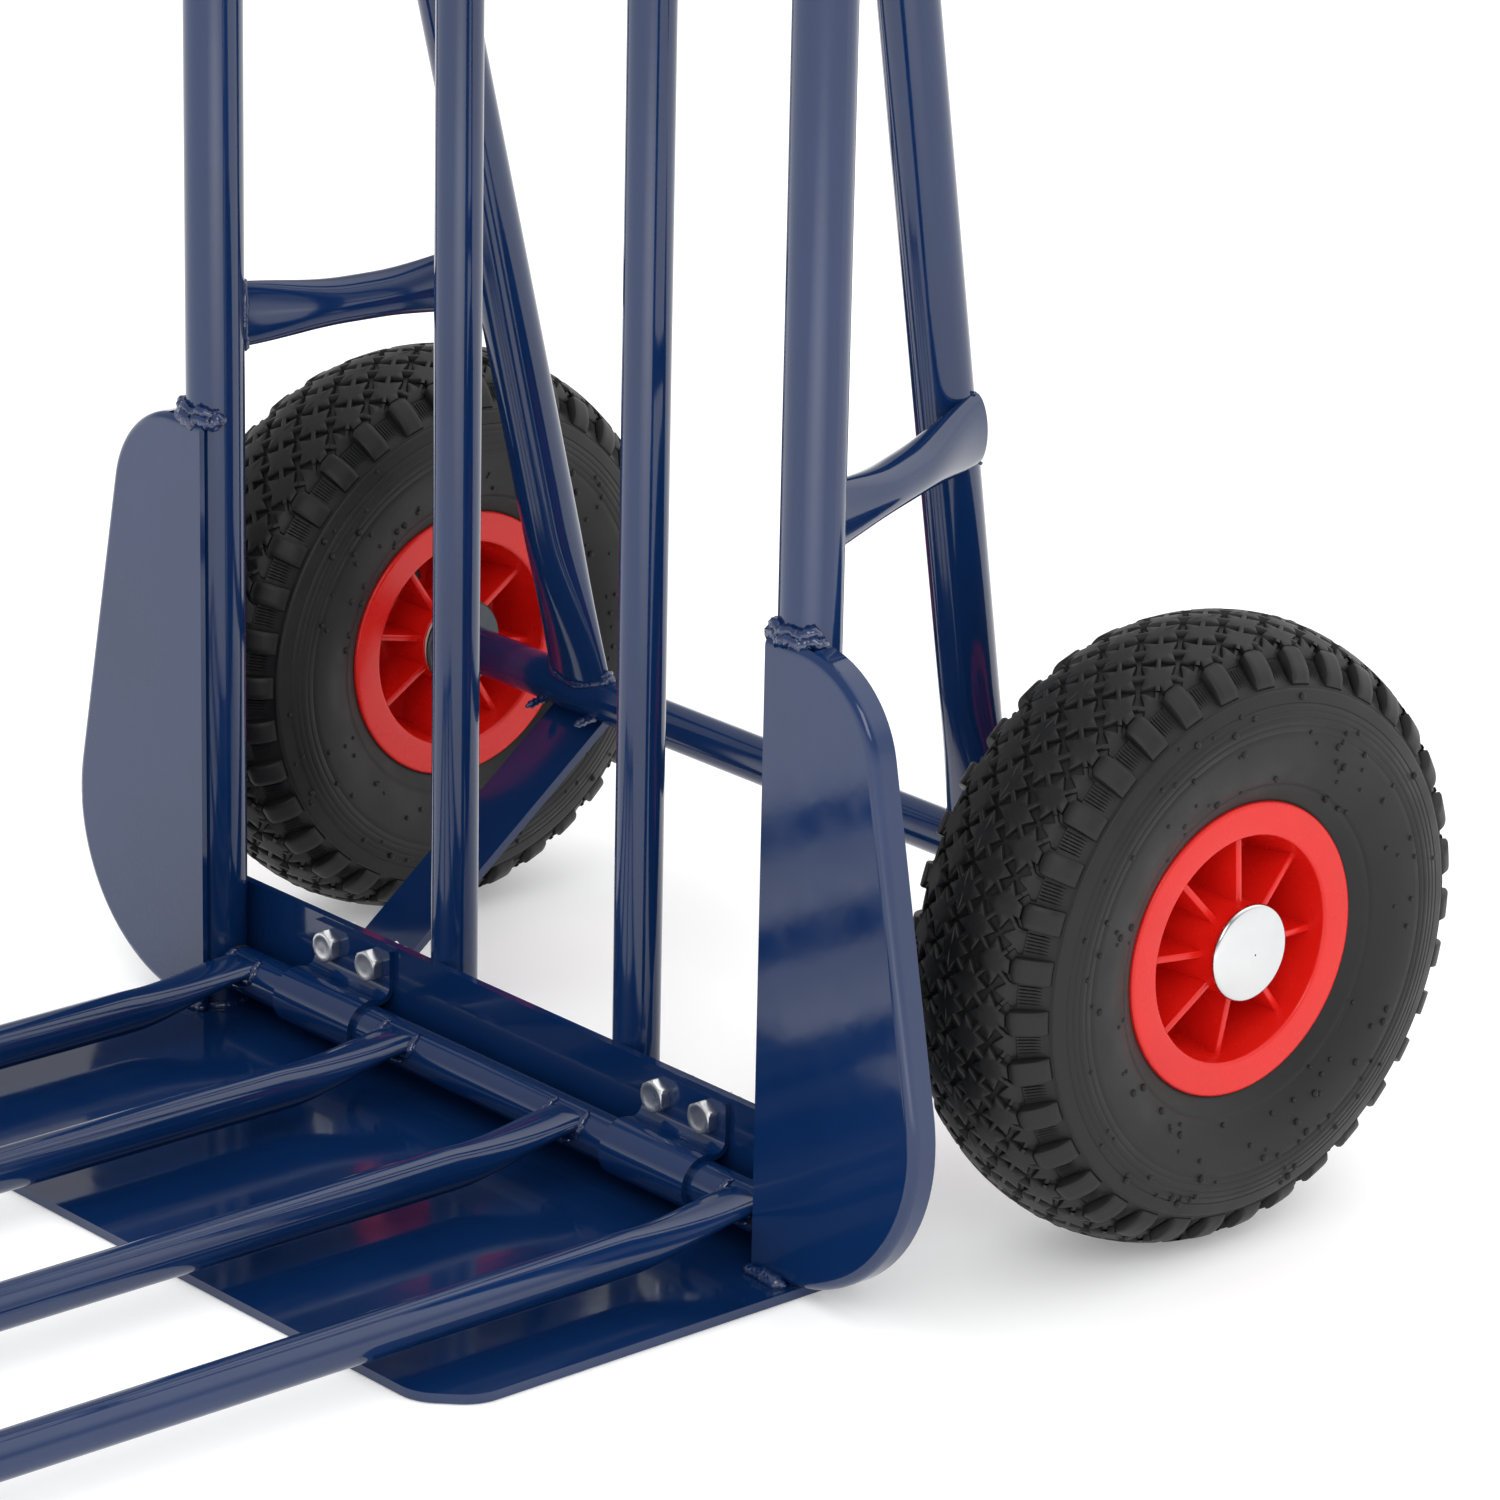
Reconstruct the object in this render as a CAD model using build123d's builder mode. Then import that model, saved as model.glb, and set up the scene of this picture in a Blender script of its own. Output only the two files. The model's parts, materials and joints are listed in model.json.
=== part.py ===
from build123d import *
import math
import os

# Hand truck with a fold-down nose extension. X across, -Y towards the load, Z up from the floor.

# Frame tubes
main_x = 191.0
main_r = 12.7
inner_x = 60.0
inner_y = 27.0
inner_r = 10.0
wall = 1.5
rail_top_z = 950.0
inner_top_z = 930.0
handle_bend_r = 110.0
handle_bend_deg = 68.0
handle_straight = 150.0

# Axle and wheels
axle_y = 155.0
axle_z = 130.0
axle_r = 10.0
axle_half = 284.5
wheel_x = 247.0
tyre_r = 130.0
tyre_half_w = 42.5
rim_flange_r = 60.7
rim_face_x = 32.4
hub_r = 19.5
hub_in_x = 31.0
hub_out_x = 31.0
rib_count = 8
rib_phase = 4.0
lug_count = 35

# Toe plate, its upturned flange and the guards
plate_t = 4.0
plate_half_w = 207.5
plate_front_y = -192.3
plate_corner = 18.0
plate_corner_r = 20.0
flange_y = 13.0
flange_top_z = 56.0
guard_t = 2.5
guard_in_x = 182.0
guard_lip = 12.0

# Folding extension and its clips
pivot_y = 0.0
pivot_z = 22.0
pivot_r = 10.0
pivot_half = 174.5
ext_r = 9.3
ext_x_outer = 166.3
ext_x_inner = 55.9
ext_z = 20.2
ext_front_y = -430.0
ext_bend_r = 45.0
clip_t = 2.5
clip_gap = 0.05
clip_x = 109.5
clip_w = 52.0
bolt_x = (94.8, 124.2)
bolt_z = 45.4
bolt_r = 4.0
bolt_hole_r = 4.5
bolt_af = 13.0

# Struts, braces, straps and crossbars
strut_r = 12.5
strut_low = Vector(129.2, axle_y, axle_z)
strut_high = Vector(172.9, 3.0, 876.0)
brace_r = 10.0
brace_main_z = 312.5
brace_strut_z = 322.0
brace_side_step = 11.0
brace_back_step = 6.0
strap_t = 4.0
strap_w = 34.0
strap_x = 134.0
strap_rise = 0.775
crossbar_zs = {"crossbar_lower": 610.0, "crossbar_upper": 890.0}
crossbar_r = 10.0

os.makedirs("parts", exist_ok=True)


def save(part, name):
    part.label = name
    export_step(part, f"parts/{name}.step")


def mirrored(part):
    with BuildPart() as other:
        add(part)
        mirror(about=Plane.YZ, mode=Mode.REPLACE)
    return other.part


def flared_tube(start, end, radius, flares, major_dir):
    """Round tube with flattened ends; flares are (reach, semi-major, semi-minor) for each end."""
    axis = (end - start).normalized()
    (low_reach, *low_axes), (high_reach, *high_axes) = flares
    low_round = start + axis * low_reach
    high_round = end - axis * high_reach
    with BuildPart() as tube:
        for shrink, mode in ((0.0, Mode.ADD), (wall, Mode.SUBTRACT)):
            for flat_at, round_at, (major, minor) in (
                (start, low_round, low_axes),
                (end, high_round, high_axes),
            ):
                with BuildSketch(Plane(origin=flat_at, x_dir=major_dir, z_dir=axis)):
                    Ellipse(major - shrink, minor - shrink)
                with BuildSketch(Plane(origin=round_at, x_dir=major_dir, z_dir=axis)):
                    Circle(radius - shrink)
                loft(mode=mode)
            with BuildSketch(Plane(origin=low_round, x_dir=major_dir, z_dir=axis)):
                Circle(radius - shrink)
            extrude(amount=(high_round - low_round).length, mode=mode)
    return tube.part


def cut_by_cylinder(part, origin, direction, radius, length=400.0):
    with BuildPart() as trimmed:
        add(part)
        with BuildSketch(Plane(origin=origin, z_dir=direction)):
            Circle(radius)
        extrude(amount=length, both=True, mode=Mode.SUBTRACT)
    return trimmed.part


# Toe plate: one bent sheet with clipped front corners and two bolt holes per clip
with BuildPart() as toe_plate:
    with BuildSketch(Plane.YZ) as plate_section:
        with BuildLine():
            Polyline(
                (plate_front_y, 0),
                (flange_y + plate_t, 0),
                (flange_y + plate_t, flange_top_z),
                (flange_y, flange_top_z),
                (flange_y, plate_t),
                (plate_front_y, plate_t),
                close=True,
            )
        make_face()
        outer_bend = plate_section.vertices().sort_by_distance((flange_y + plate_t, 0, 0))[0]
        fillet(outer_bend, plate_t + 1.5)
        inner_bend = plate_section.vertices().sort_by_distance((flange_y, plate_t, 0))[0]
        fillet(inner_bend, 1.5)
    extrude(amount=plate_half_w, both=True)
    front_corners = toe_plate.edges().filter_by(Axis.Z).group_by(Axis.Y)[0]
    chamfer(front_corners, plate_corner)
    clipped = toe_plate.edges().filter_by(Axis.Z).group_by(Axis.Y)
    fillet(clipped[0] + clipped[1], plate_corner_r)
    with BuildSketch(Plane.XZ.offset(-flange_y - plate_t / 2)):
        for side in (-1, 1):
            with Locations(*[(side * x, bolt_z) for x in bolt_x]):
                Circle(bolt_hole_r)
    extrude(amount=plate_t, both=True, mode=Mode.SUBTRACT)
save(toe_plate.part, "toe_plate")

# Main tubes: straight rails whose tops bend back into the handles
bend = math.radians(handle_bend_deg)
bend_end = (
    handle_bend_r * (1 - math.cos(bend)),
    rail_top_z + handle_bend_r * math.sin(bend),
)
handle_dir = (math.sin(bend), math.cos(bend))
handle_end = (
    bend_end[0] + handle_straight * handle_dir[0],
    bend_end[1] + handle_straight * handle_dir[1],
)
with BuildPart() as main_tube_right:
    with BuildLine(Plane.YZ.offset(main_x)) as rail_path:
        Line((0, plate_t), (0, rail_top_z))
        CenterArc((handle_bend_r, rail_top_z), handle_bend_r, 180, -handle_bend_deg)
        Line(bend_end, handle_end)
    with BuildSketch(Plane(origin=(main_x, 0, plate_t), z_dir=(0, 0, 1))):
        Circle(main_r)
        Circle(main_r - wall, mode=Mode.SUBTRACT)
    sweep(path=rail_path.wires()[0])
    add(toe_plate.part, mode=Mode.SUBTRACT)
save(main_tube_right.part, "main_tube_right")
save(mirrored(main_tube_right.part), "main_tube_left")

# Handle grips: closed sleeves with finger waves and an end flange
grip_len = 125.0
grip_r = 17.0
grip_plane = Plane(
    origin=(main_x, handle_end[0], handle_end[1]),
    x_dir=(1, 0, 0),
    z_dir=(0, handle_dir[0], handle_dir[1]),
)
with BuildPart() as grip_right:
    grip_base = Plane(grip_plane.origin, x_dir=grip_plane.x_dir, z_dir=-grip_plane.y_dir)
    with BuildSketch(grip_base):
        with BuildLine():
            waves = [(grip_r - 0.6, -14), (grip_r + 0.8, -31), (grip_r - 1.2, -43), (grip_r + 0.8, -55)]
            waves += [(grip_r - 1.2, -67), (grip_r + 0.8, -79), (grip_r - 1.2, -91), (grip_r + 0.2, -106)]
            profile = Spline((grip_r + 1.5, -4), *waves, (grip_r + 4.0, -grip_len + 6))
            Line(profile @ 1, (grip_r + 4.0, -grip_len))
            Line((grip_r + 4.0, -grip_len), (main_r, -grip_len))
            Line((main_r, -grip_len), (main_r, 0))
            Line((main_r, 0), (0, 0))
            Line((0, 0), (0, 4))
            Line((0, 4), (grip_r - 4.5, 4))
            ThreePointArc((grip_r - 4.5, 4), (grip_r - 0.2, 1.8), (grip_r + 1.5, -4))
        make_face()
    revolve(axis=Axis(grip_plane.origin, grip_plane.z_dir))
save(grip_right.part, "grip_right")
save(mirrored(grip_right.part), "grip_left")

# Inner tubes stand on the plate behind its flange
with BuildPart() as inner_tube_right:
    with BuildSketch(Plane.XY.offset(8.0)):
        with Locations((inner_x, inner_y)):
            Circle(inner_r)
            Circle(inner_r - wall, mode=Mode.SUBTRACT)
    extrude(amount=inner_top_z - 8.0)
save(inner_tube_right.part, "inner_tube_right")
save(mirrored(inner_tube_right.part), "inner_tube_left")

with BuildPart() as inner_tube_plugs:
    for side in (-1, 1):
        with BuildSketch(Plane.XY.offset(inner_top_z)):
            with Locations((side * inner_x, inner_y)):
                Circle(inner_r)
        extrude(amount=4.0)
        with BuildSketch(Plane.XY.offset(inner_top_z)):
            with Locations((side * inner_x, inner_y)):
                Circle(inner_r - wall)
        extrude(amount=-12.0)
    crowns = inner_tube_plugs.edges().filter_by(GeomType.CIRCLE).group_by(Axis.Z)[-1]
    fillet(crowns, 3.0)
save(inner_tube_plugs.part, "inner_tube_plugs")

# Crossbars bow back behind the inner tubes and are coped to the main tubes
bow_mid_y = inner_y + inner_r + crossbar_r + 4.0
bow_end_y = 8.0
for bar_name, bar_z in crossbar_zs.items():
    with BuildPart() as crossbar:
        with BuildLine(Plane.XY.offset(bar_z)) as bow:
            ThreePointArc((-main_x, bow_end_y), (0, bow_mid_y), (main_x, bow_end_y))
        with BuildSketch(Plane(bow.line @ 0, z_dir=bow.line % 0)):
            Circle(crossbar_r)
            Circle(crossbar_r - wall, mode=Mode.SUBTRACT)
        sweep(path=bow.wires()[0])
        with BuildSketch(Plane.XY.offset(bar_z)):
            with Locations((-main_x, 0), (main_x, 0)):
                Circle(main_r)
            with Locations((-inner_x, inner_y), (inner_x, inner_y)):
                Circle(inner_r)
        extrude(amount=3 * crossbar_r, both=True, mode=Mode.SUBTRACT)
        with BuildSketch(Plane.XY.offset(bar_z)):
            with Locations((-main_x - main_r - 8, 0), (main_x + main_r + 8, 0)):
                Rectangle(2 * main_r + 16, 80)
        extrude(amount=3 * crossbar_r, both=True, mode=Mode.SUBTRACT)
    biggest = crossbar.solids().sort_by(SortBy.VOLUME)[-1]
    with BuildPart() as crossbar_clean:
        add(biggest)
    save(crossbar_clean.part, bar_name)

# Axle with cross holes for the retaining pins
pin_x = wheel_x + 34.7
pin_r = 1.6
with BuildPart() as axle:
    with BuildSketch(Plane.YZ.offset(-axle_half)):
        with Locations((axle_y, axle_z)):
            Circle(axle_r)
    extrude(amount=2 * axle_half)
    chamfer(axle.edges().filter_by(GeomType.CIRCLE), 1.0)
    with BuildSketch(Plane.XY.offset(axle_z)):
        with Locations((-pin_x, axle_y), (pin_x, axle_y)):
            Circle(pin_r)
    extrude(amount=2 * axle_r, both=True, mode=Mode.SUBTRACT)
save(axle.part, "axle")

with BuildPart() as axle_pins:
    for side in (-1, 1):
        with BuildSketch(Plane.XY.offset(axle_z - 15.0)):
            with Locations((side * pin_x, axle_y)):
                Circle(pin_r)
        extrude(amount=30.0)
save(axle_pins.part, "axle_pins")

washer_gap = 0.4
with BuildPart() as axle_washers:
    for side in (-1, 1):
        with BuildSketch(Plane.YZ.offset(side * (wheel_x + hub_out_x + washer_gap))):
            with Locations((axle_y, axle_z)):
                Circle(16.0)
                Circle(axle_r, mode=Mode.SUBTRACT)
        extrude(amount=side * 1.6)
save(axle_washers.part, "axle_washers")

with BuildPart() as axle_collars:
    for side in (-1, 1):
        with BuildSketch(Plane.YZ.offset(side * (wheel_x - hub_in_x - washer_gap))):
            with Locations((axle_y, axle_z)):
                Circle(20.5)
                Circle(axle_r, mode=Mode.SUBTRACT)
        extrude(amount=-side * 2.5)
    rims = axle_collars.edges().filter_by(lambda e: e.geom_type == GeomType.CIRCLE and e.radius > 20)
    chamfer(rims, 0.7)
save(axle_collars.part, "axle_collars")

# Struts rise from the axle to the backs of the main tubes
strut_axis = (strut_high - strut_low).normalized()
strut_foot = strut_low + strut_axis * 6.0
strut_flares = ((62.0, 19.0, 6.5), (45.0, 16.5, 8.0))
strut_blank = flared_tube(strut_foot, strut_high, strut_r, strut_flares, Vector(1, 0, 0))
strut_cut = cut_by_cylinder(strut_blank, (0, axle_y, axle_z), (1, 0, 0), axle_r)
strut_cut = cut_by_cylinder(strut_cut, (main_x, 0, 600), (0, 0, 1), main_r)
strut_right = strut_cut.solids().sort_by(SortBy.VOLUME)[-1]
save(strut_right, "strut_right")
save(mirrored(strut_right), "strut_left")

# Braces tie each main tube to its strut
brace_t = (brace_strut_z - axle_z) / (strut_high.Z - axle_z)
brace_start = Vector(main_x, 0, brace_main_z)
brace_end = strut_low + (strut_high - strut_low) * brace_t
brace_end = Vector(brace_end.X + brace_side_step, brace_end.Y + brace_back_step, brace_strut_z)
brace_dir = (brace_end - brace_start).normalized()
brace_flares = ((46.0, 15.5, 6.0), (46.0, 15.5, 6.0))
brace_blank = flared_tube(
    brace_start + brace_dir * 7.0, brace_end, brace_r, brace_flares, Vector(0, 0, 1)
)
brace_cut = cut_by_cylinder(brace_blank, (main_x, 0, 300), (0, 0, 1), main_r)
brace_cut = cut_by_cylinder(brace_cut, strut_low, strut_axis, strut_r)
brace_right = brace_cut.solids().sort_by(SortBy.VOLUME)[-1]
save(brace_right, "brace_right")
save(mirrored(brace_right), "brace_left")

# Flat straps run from under the axle down to the back of the toe plate flange
strap_dir = Vector(0, 1, strap_rise).normalized()
strap_normal = Vector(0, -strap_rise, 1).normalized()
with BuildPart() as strap_right:
    touch_axle = Vector(strap_x, axle_y, axle_z) - strap_normal * axle_r
    with BuildSketch(Plane(touch_axle, x_dir=(1, 0, 0), z_dir=strap_normal)):
        Rectangle(strap_w, 500)
    extrude(amount=-strap_t)
    with BuildSketch(Plane.XY):
        with Locations((strap_x, flange_y + plate_t - 150), (strap_x, touch_axle.Y + 4.0 + 150)):
            Rectangle(2 * strap_w, 300)
    extrude(amount=400, both=True, mode=Mode.SUBTRACT)
save(strap_right.part, "strap_right")
save(mirrored(strap_right.part), "strap_left")

# Wheel guards: pressed plates with a lip turned back round the outer edge
guard_top_z = 270.0
guard_slope = 27.5 / 140.0
guard_mid = (275.0, 84.0)
guard_low_x = guard_mid[0] + (guard_mid[1] - plate_t) * guard_slope
guard_high_x = guard_mid[0] - (guard_top_z - guard_mid[1]) * guard_slope
guard_low_r = 77.5
guard_high_r = 45.0
lip_start_x = 207.5
with BuildPart() as guard_right:
    face_y = -main_r - guard_t
    with BuildSketch(Plane.XZ.offset(-face_y)) as guard_outline:
        with BuildLine():
            Polyline(
                (guard_in_x, plate_t),
                (guard_low_x, plate_t),
                (guard_high_x, guard_top_z),
                (guard_in_x, guard_top_z),
                close=True,
            )
        make_face()
        fillet(guard_outline.vertices().sort_by_distance((guard_low_x, plate_t, 0))[0], guard_low_r)
        fillet(guard_outline.vertices().sort_by_distance((guard_high_x, guard_top_z, 0))[0], guard_high_r)
    extrude(amount=-guard_lip)
    face_edges = guard_right.faces().sort_by(Axis.Y)[0].edges()
    fillet(face_edges.filter_by(lambda e: e.center().X > 210), 4.0)
    with BuildSketch(Plane.XZ.offset(main_r)):
        add(guard_outline.sketch_local)
        offset(amount=-guard_t, mode=Mode.REPLACE)
        with Locations(((guard_in_x - 8 + lip_start_x) / 2, guard_top_z / 2)):
            Rectangle(lip_start_x - guard_in_x + 8, guard_top_z + 40)
    extrude(amount=-30.0, mode=Mode.SUBTRACT)
save(guard_right.part, "guard_right")
save(mirrored(guard_right.part), "guard_left")

# Hinge clips: strap bolted to the flange and wrapped round the pivot tube
saddle_r = pivot_r + clip_gap + clip_t / 2
tab_y = flange_y - clip_t / 2
ease_r = 6.0
ease_y = tab_y - ease_r
ease_z = pivot_z + math.sqrt((ease_r + saddle_r) ** 2 - (ease_y - pivot_y) ** 2)
touch_angle = math.degrees(math.atan2(ease_z - pivot_z, ease_y - pivot_y))
touch = (
    pivot_y + saddle_r * math.cos(math.radians(touch_angle)),
    pivot_z + saddle_r * math.sin(math.radians(touch_angle)),
)
with BuildPart() as clip_right:
    with BuildSketch(Plane.YZ.offset(clip_x - clip_w / 2)):
        with BuildLine() as clip_line:
            Line((tab_y, flange_top_z - 2.0), (tab_y, ease_z))
            CenterArc((ease_y, ease_z), ease_r, 0, -(180 - touch_angle))
            CenterArc((pivot_y, pivot_z), saddle_r, touch_angle, 270 - touch_angle)
            Line((pivot_y, pivot_z - saddle_r), (flange_y - 0.2, pivot_z - saddle_r))
        trace(line_width=clip_t)
    extrude(amount=clip_w)
    with BuildSketch(Plane.XZ.offset(-flange_y - 5)):
        with Locations(*[(x, bolt_z) for x in bolt_x]):
            Circle(bolt_hole_r)
    extrude(amount=30.0, mode=Mode.SUBTRACT)
    with BuildSketch(Plane.XZ.offset(-flange_y)):
        Rectangle(900, 900)
    extrude(amount=-30, mode=Mode.SUBTRACT)
save(clip_right.part, "clip_right")
save(mirrored(clip_right.part), "clip_left")

# Clip fasteners: hexagon bolts with domed-off heads, washers and nuts behind the flange
head_h = 5.3
bolt_len = 16.0
head_y = flange_y - clip_t
with BuildPart() as clip_bolts:
    spots = [(side * x, bolt_z) for side in (-1, 1) for x in bolt_x]
    for spot in spots:
        with BuildSketch(Plane.XZ.offset(-head_y)):
            with Locations(spot):
                RegularPolygon(bolt_af / 2, 6, major_radius=False, rotation=30)
        extrude(amount=head_h)
        with BuildSketch(Plane.XZ.offset(-head_y)):
            with Locations(spot):
                Circle(bolt_r)
        extrude(amount=-bolt_len - clip_t)
    top_edges = clip_bolts.faces().group_by(Axis.Y)[0].edges()
    chamfer(top_edges, 0.6)
save(clip_bolts.part, "clip_bolts")

with BuildPart() as clip_nuts:
    for spot in spots:
        with BuildSketch(Plane.XZ.offset(-flange_y - plate_t)):
            with Locations(spot):
                RegularPolygon(bolt_af / 2, 6, major_radius=False, rotation=30)
                Circle(bolt_r, mode=Mode.SUBTRACT)
        extrude(amount=-6.5)
save(clip_nuts.part, "clip_nuts")

# Extension: pivot tube with plugs
with BuildPart() as pivot_tube:
    with BuildSketch(Plane.YZ.offset(-pivot_half)):
        with Locations((pivot_y, pivot_z)):
            Circle(pivot_r)
            Circle(pivot_r - wall, mode=Mode.SUBTRACT)
    extrude(amount=2 * pivot_half)
save(pivot_tube.part, "pivot_tube")

with BuildPart() as pivot_plugs:
    for side in (-1, 1):
        with BuildSketch(Plane.YZ.offset(side * pivot_half)):
            with Locations((pivot_y, pivot_z)):
                Circle(pivot_r)
        extrude(amount=side * 2.0)
        with BuildSketch(Plane.YZ.offset(side * pivot_half)):
            with Locations((pivot_y, pivot_z)):
                Circle(pivot_r - wall)
        extrude(amount=-side * 10.0)
save(pivot_plugs.part, "pivot_plugs")

# Extension: outer loop and two inner bars, their flattened ends welded on the pivot tube
end_z = 27.0
end_y = -6.0
flare_y = -62.0


def ext_end(x):
    """Flattened tube end running from the straight tube up onto the pivot tube."""
    stations = ((flare_y, ext_z, ext_r, ext_r), (-34.0, 21.6, 10.6, 6.8), (end_y, end_z, 11.3, 4.4))
    with BuildPart() as tube_end:
        for shrink, mode in ((0.0, Mode.ADD), (wall, Mode.SUBTRACT)):
            for pair in zip(stations[:-1], stations[1:]):
                for y, z, major, minor in pair:
                    with BuildSketch(Plane(origin=(x, y, z), x_dir=(1, 0, 0), z_dir=(0, 1, 0))):
                        if major == minor:
                            Circle(major - shrink)
                        else:
                            Ellipse(major - shrink, minor - shrink)
                loft(mode=mode)
    return tube_end.part


with BuildPart() as ext_loop:
    with BuildLine(Plane.XY.offset(ext_z)) as loop_path:
        FilletPolyline(
            (-ext_x_outer, flare_y),
            (-ext_x_outer, ext_front_y),
            (ext_x_outer, ext_front_y),
            (ext_x_outer, flare_y),
            radius=ext_bend_r,
        )
    with BuildSketch(Plane(origin=(-ext_x_outer, flare_y, ext_z), x_dir=(1, 0, 0), z_dir=(0, -1, 0))):
        Circle(ext_r)
        Circle(ext_r - wall, mode=Mode.SUBTRACT)
    sweep(path=loop_path.wires()[0])
    add(ext_end(-ext_x_outer))
    add(ext_end(ext_x_outer))
    add(cut_by_cylinder(ext_loop.part, (0, pivot_y, pivot_z), (1, 0, 0), pivot_r), mode=Mode.REPLACE)
save(ext_loop.part, "ext_loop")

with BuildPart() as ext_bar_right:
    with BuildSketch(Plane(origin=(ext_x_inner, flare_y, ext_z), x_dir=(1, 0, 0), z_dir=(0, -1, 0))):
        Circle(ext_r)
        Circle(ext_r - wall, mode=Mode.SUBTRACT)
    extrude(amount=flare_y - ext_front_y)
    add(ext_end(ext_x_inner))
bar_cut = cut_by_cylinder(ext_bar_right.part, (0, pivot_y, pivot_z), (1, 0, 0), pivot_r)
bar_cut = cut_by_cylinder(bar_cut, (0, ext_front_y, ext_z), (1, 0, 0), ext_r)
bar_right = bar_cut.solids().sort_by(SortBy.VOLUME)[-1]
save(bar_right, "ext_bar_right")
save(mirrored(bar_right), "ext_bar_left")

foot_x = 100.0
with BuildPart() as ext_feet:
    for side in (-1, 1):
        with BuildSketch(Plane.XY):
            with Locations((side * foot_x, ext_front_y)):
                Circle(9.0)
        extrude(amount=ext_z - 3.0)
    with BuildSketch(Plane.YZ):
        with Locations((ext_front_y, ext_z)):
            Circle(ext_r)
    extrude(amount=200.0, both=True, mode=Mode.SUBTRACT)
    chamfer(ext_feet.edges().group_by(Axis.Z)[0], 1.0)
save(ext_feet.part, "ext_feet")


# Wheels, drawn for the right-hand side about their own centre
def wheel_plane(angle=0.0):
    up = Vector(0, math.sin(math.radians(angle)), math.cos(math.radians(angle)))
    return Plane(origin=(wheel_x, axle_y, axle_z), x_dir=(1, 0, 0), z_dir=Vector(1, 0, 0).cross(up))


wheel_axis = Axis((wheel_x, axle_y, axle_z), (1, 0, 0))
seat_r = 51.0
well_r = 46.5
flange_in_x = 28.4
dish_face_r = 46.5
valve_x = -8.5
valve_offset_deg = -22.5


def rim(phase):
    with BuildPart() as body:
        with BuildSketch(wheel_plane()) as section:
            with BuildLine():
                Polyline(
                    (-rim_face_x, dish_face_r),
                    (-rim_face_x, rim_flange_r - 2.5),
                    (-rim_face_x + 1.4, rim_flange_r),
                    (-flange_in_x, rim_flange_r),
                    (-flange_in_x, seat_r),
                    (-13.0, seat_r - 0.5),
                    (-9.0, well_r),
                    (9.0, well_r),
                    (13.0, seat_r - 0.5),
                    (flange_in_x, seat_r),
                    (flange_in_x, rim_flange_r),
                    (rim_face_x - 1.4, rim_flange_r),
                    (rim_face_x, rim_flange_r - 2.5),
                    (rim_face_x, dish_face_r),
                    (10.0, well_r - 3.2),
                    (2.0, well_r - 4.0),
                    (2.0, hub_r + 1.0),
                    (hub_out_x, hub_r - 0.8),
                    (hub_out_x, 13.0),
                    (-hub_in_x + 3.0, 13.0),
                    (-hub_in_x + 3.0, hub_r - 0.8),
                    (-2.0, hub_r + 1.0),
                    (-2.0, well_r - 4.0),
                    (-10.0, well_r - 3.2),
                    close=True,
                )
            make_face()
        revolve(axis=wheel_axis)
        for index in range(rib_count):
            with BuildSketch(wheel_plane(phase + 360.0 / rib_count * index)):
                with BuildLine():
                    Polyline(
                        (-25.0, hub_r - 2.5),
                        (-24.0, well_r - 0.5),
                        (25.0, well_r - 0.5),
                        (29.0, hub_r - 2.5),
                        close=True,
                    )
                make_face()
            extrude(amount=1.4, both=True)
        with BuildSketch(Plane.YZ.offset(wheel_x - hub_in_x - 5)):
            with Locations((axle_y, axle_z)):
                Circle(13.0)
        extrude(amount=80, mode=Mode.SUBTRACT)
        bore = wheel_plane(phase + valve_offset_deg)
        with BuildSketch(Plane(bore.origin, x_dir=(1, 0, 0), z_dir=bore.y_dir)):
            with Locations((valve_x, 0)):
                Circle(4.2)
        extrude(amount=70, mode=Mode.SUBTRACT)
    return body.part.solids().sort_by(SortBy.VOLUME)[-1]


with BuildPart() as tyre_right:
    with BuildSketch(wheel_plane()):
        with BuildLine():
            Line((14.0, seat_r), (flange_in_x, seat_r))
            Line((flange_in_x, seat_r), (flange_in_x, rim_flange_r + 0.2))
            Line((flange_in_x, rim_flange_r + 0.2), (31.5, rim_flange_r + 0.2))
            ThreePointArc((31.5, rim_flange_r + 0.2), (tyre_half_w, 92.0), (34.0, 119.5))
            ThreePointArc((34.0, 119.5), (0, tyre_r), (-34.0, 119.5))
            ThreePointArc((-34.0, 119.5), (-tyre_half_w, 92.0), (-31.5, rim_flange_r + 0.2))
            Line((-31.5, rim_flange_r + 0.2), (-flange_in_x, rim_flange_r + 0.2))
            Line((-flange_in_x, rim_flange_r + 0.2), (-flange_in_x, seat_r))
            Line((-flange_in_x, seat_r), (-14.0, seat_r))
            Line((-14.0, seat_r), (-22.0, 62.0))
            ThreePointArc((-22.0, 62.0), (-37.0, 90.0), (-28.0, 113.0))
            ThreePointArc((-28.0, 113.0), (0, tyre_r - 10.0), (28.0, 113.0))
            ThreePointArc((28.0, 113.0), (37.0, 90.0), (22.0, 62.0))
            Line((22.0, 62.0), (14.0, seat_r))
        make_face()
    revolve(axis=wheel_axis)
    for index in range(lug_count):
        for side in (-1, 1):
            with BuildSketch(wheel_plane(360.0 / lug_count * index)):
                with Locations((side * 38.5, 119.5)):
                    Rectangle(16.0, 9.0, rotation=-side * 52)
            extrude(amount=1.6, both=True, mode=Mode.SUBTRACT)
save(tyre_right.part, "tyre_right")
save(mirrored(tyre_right.part), "tyre_left")

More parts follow.
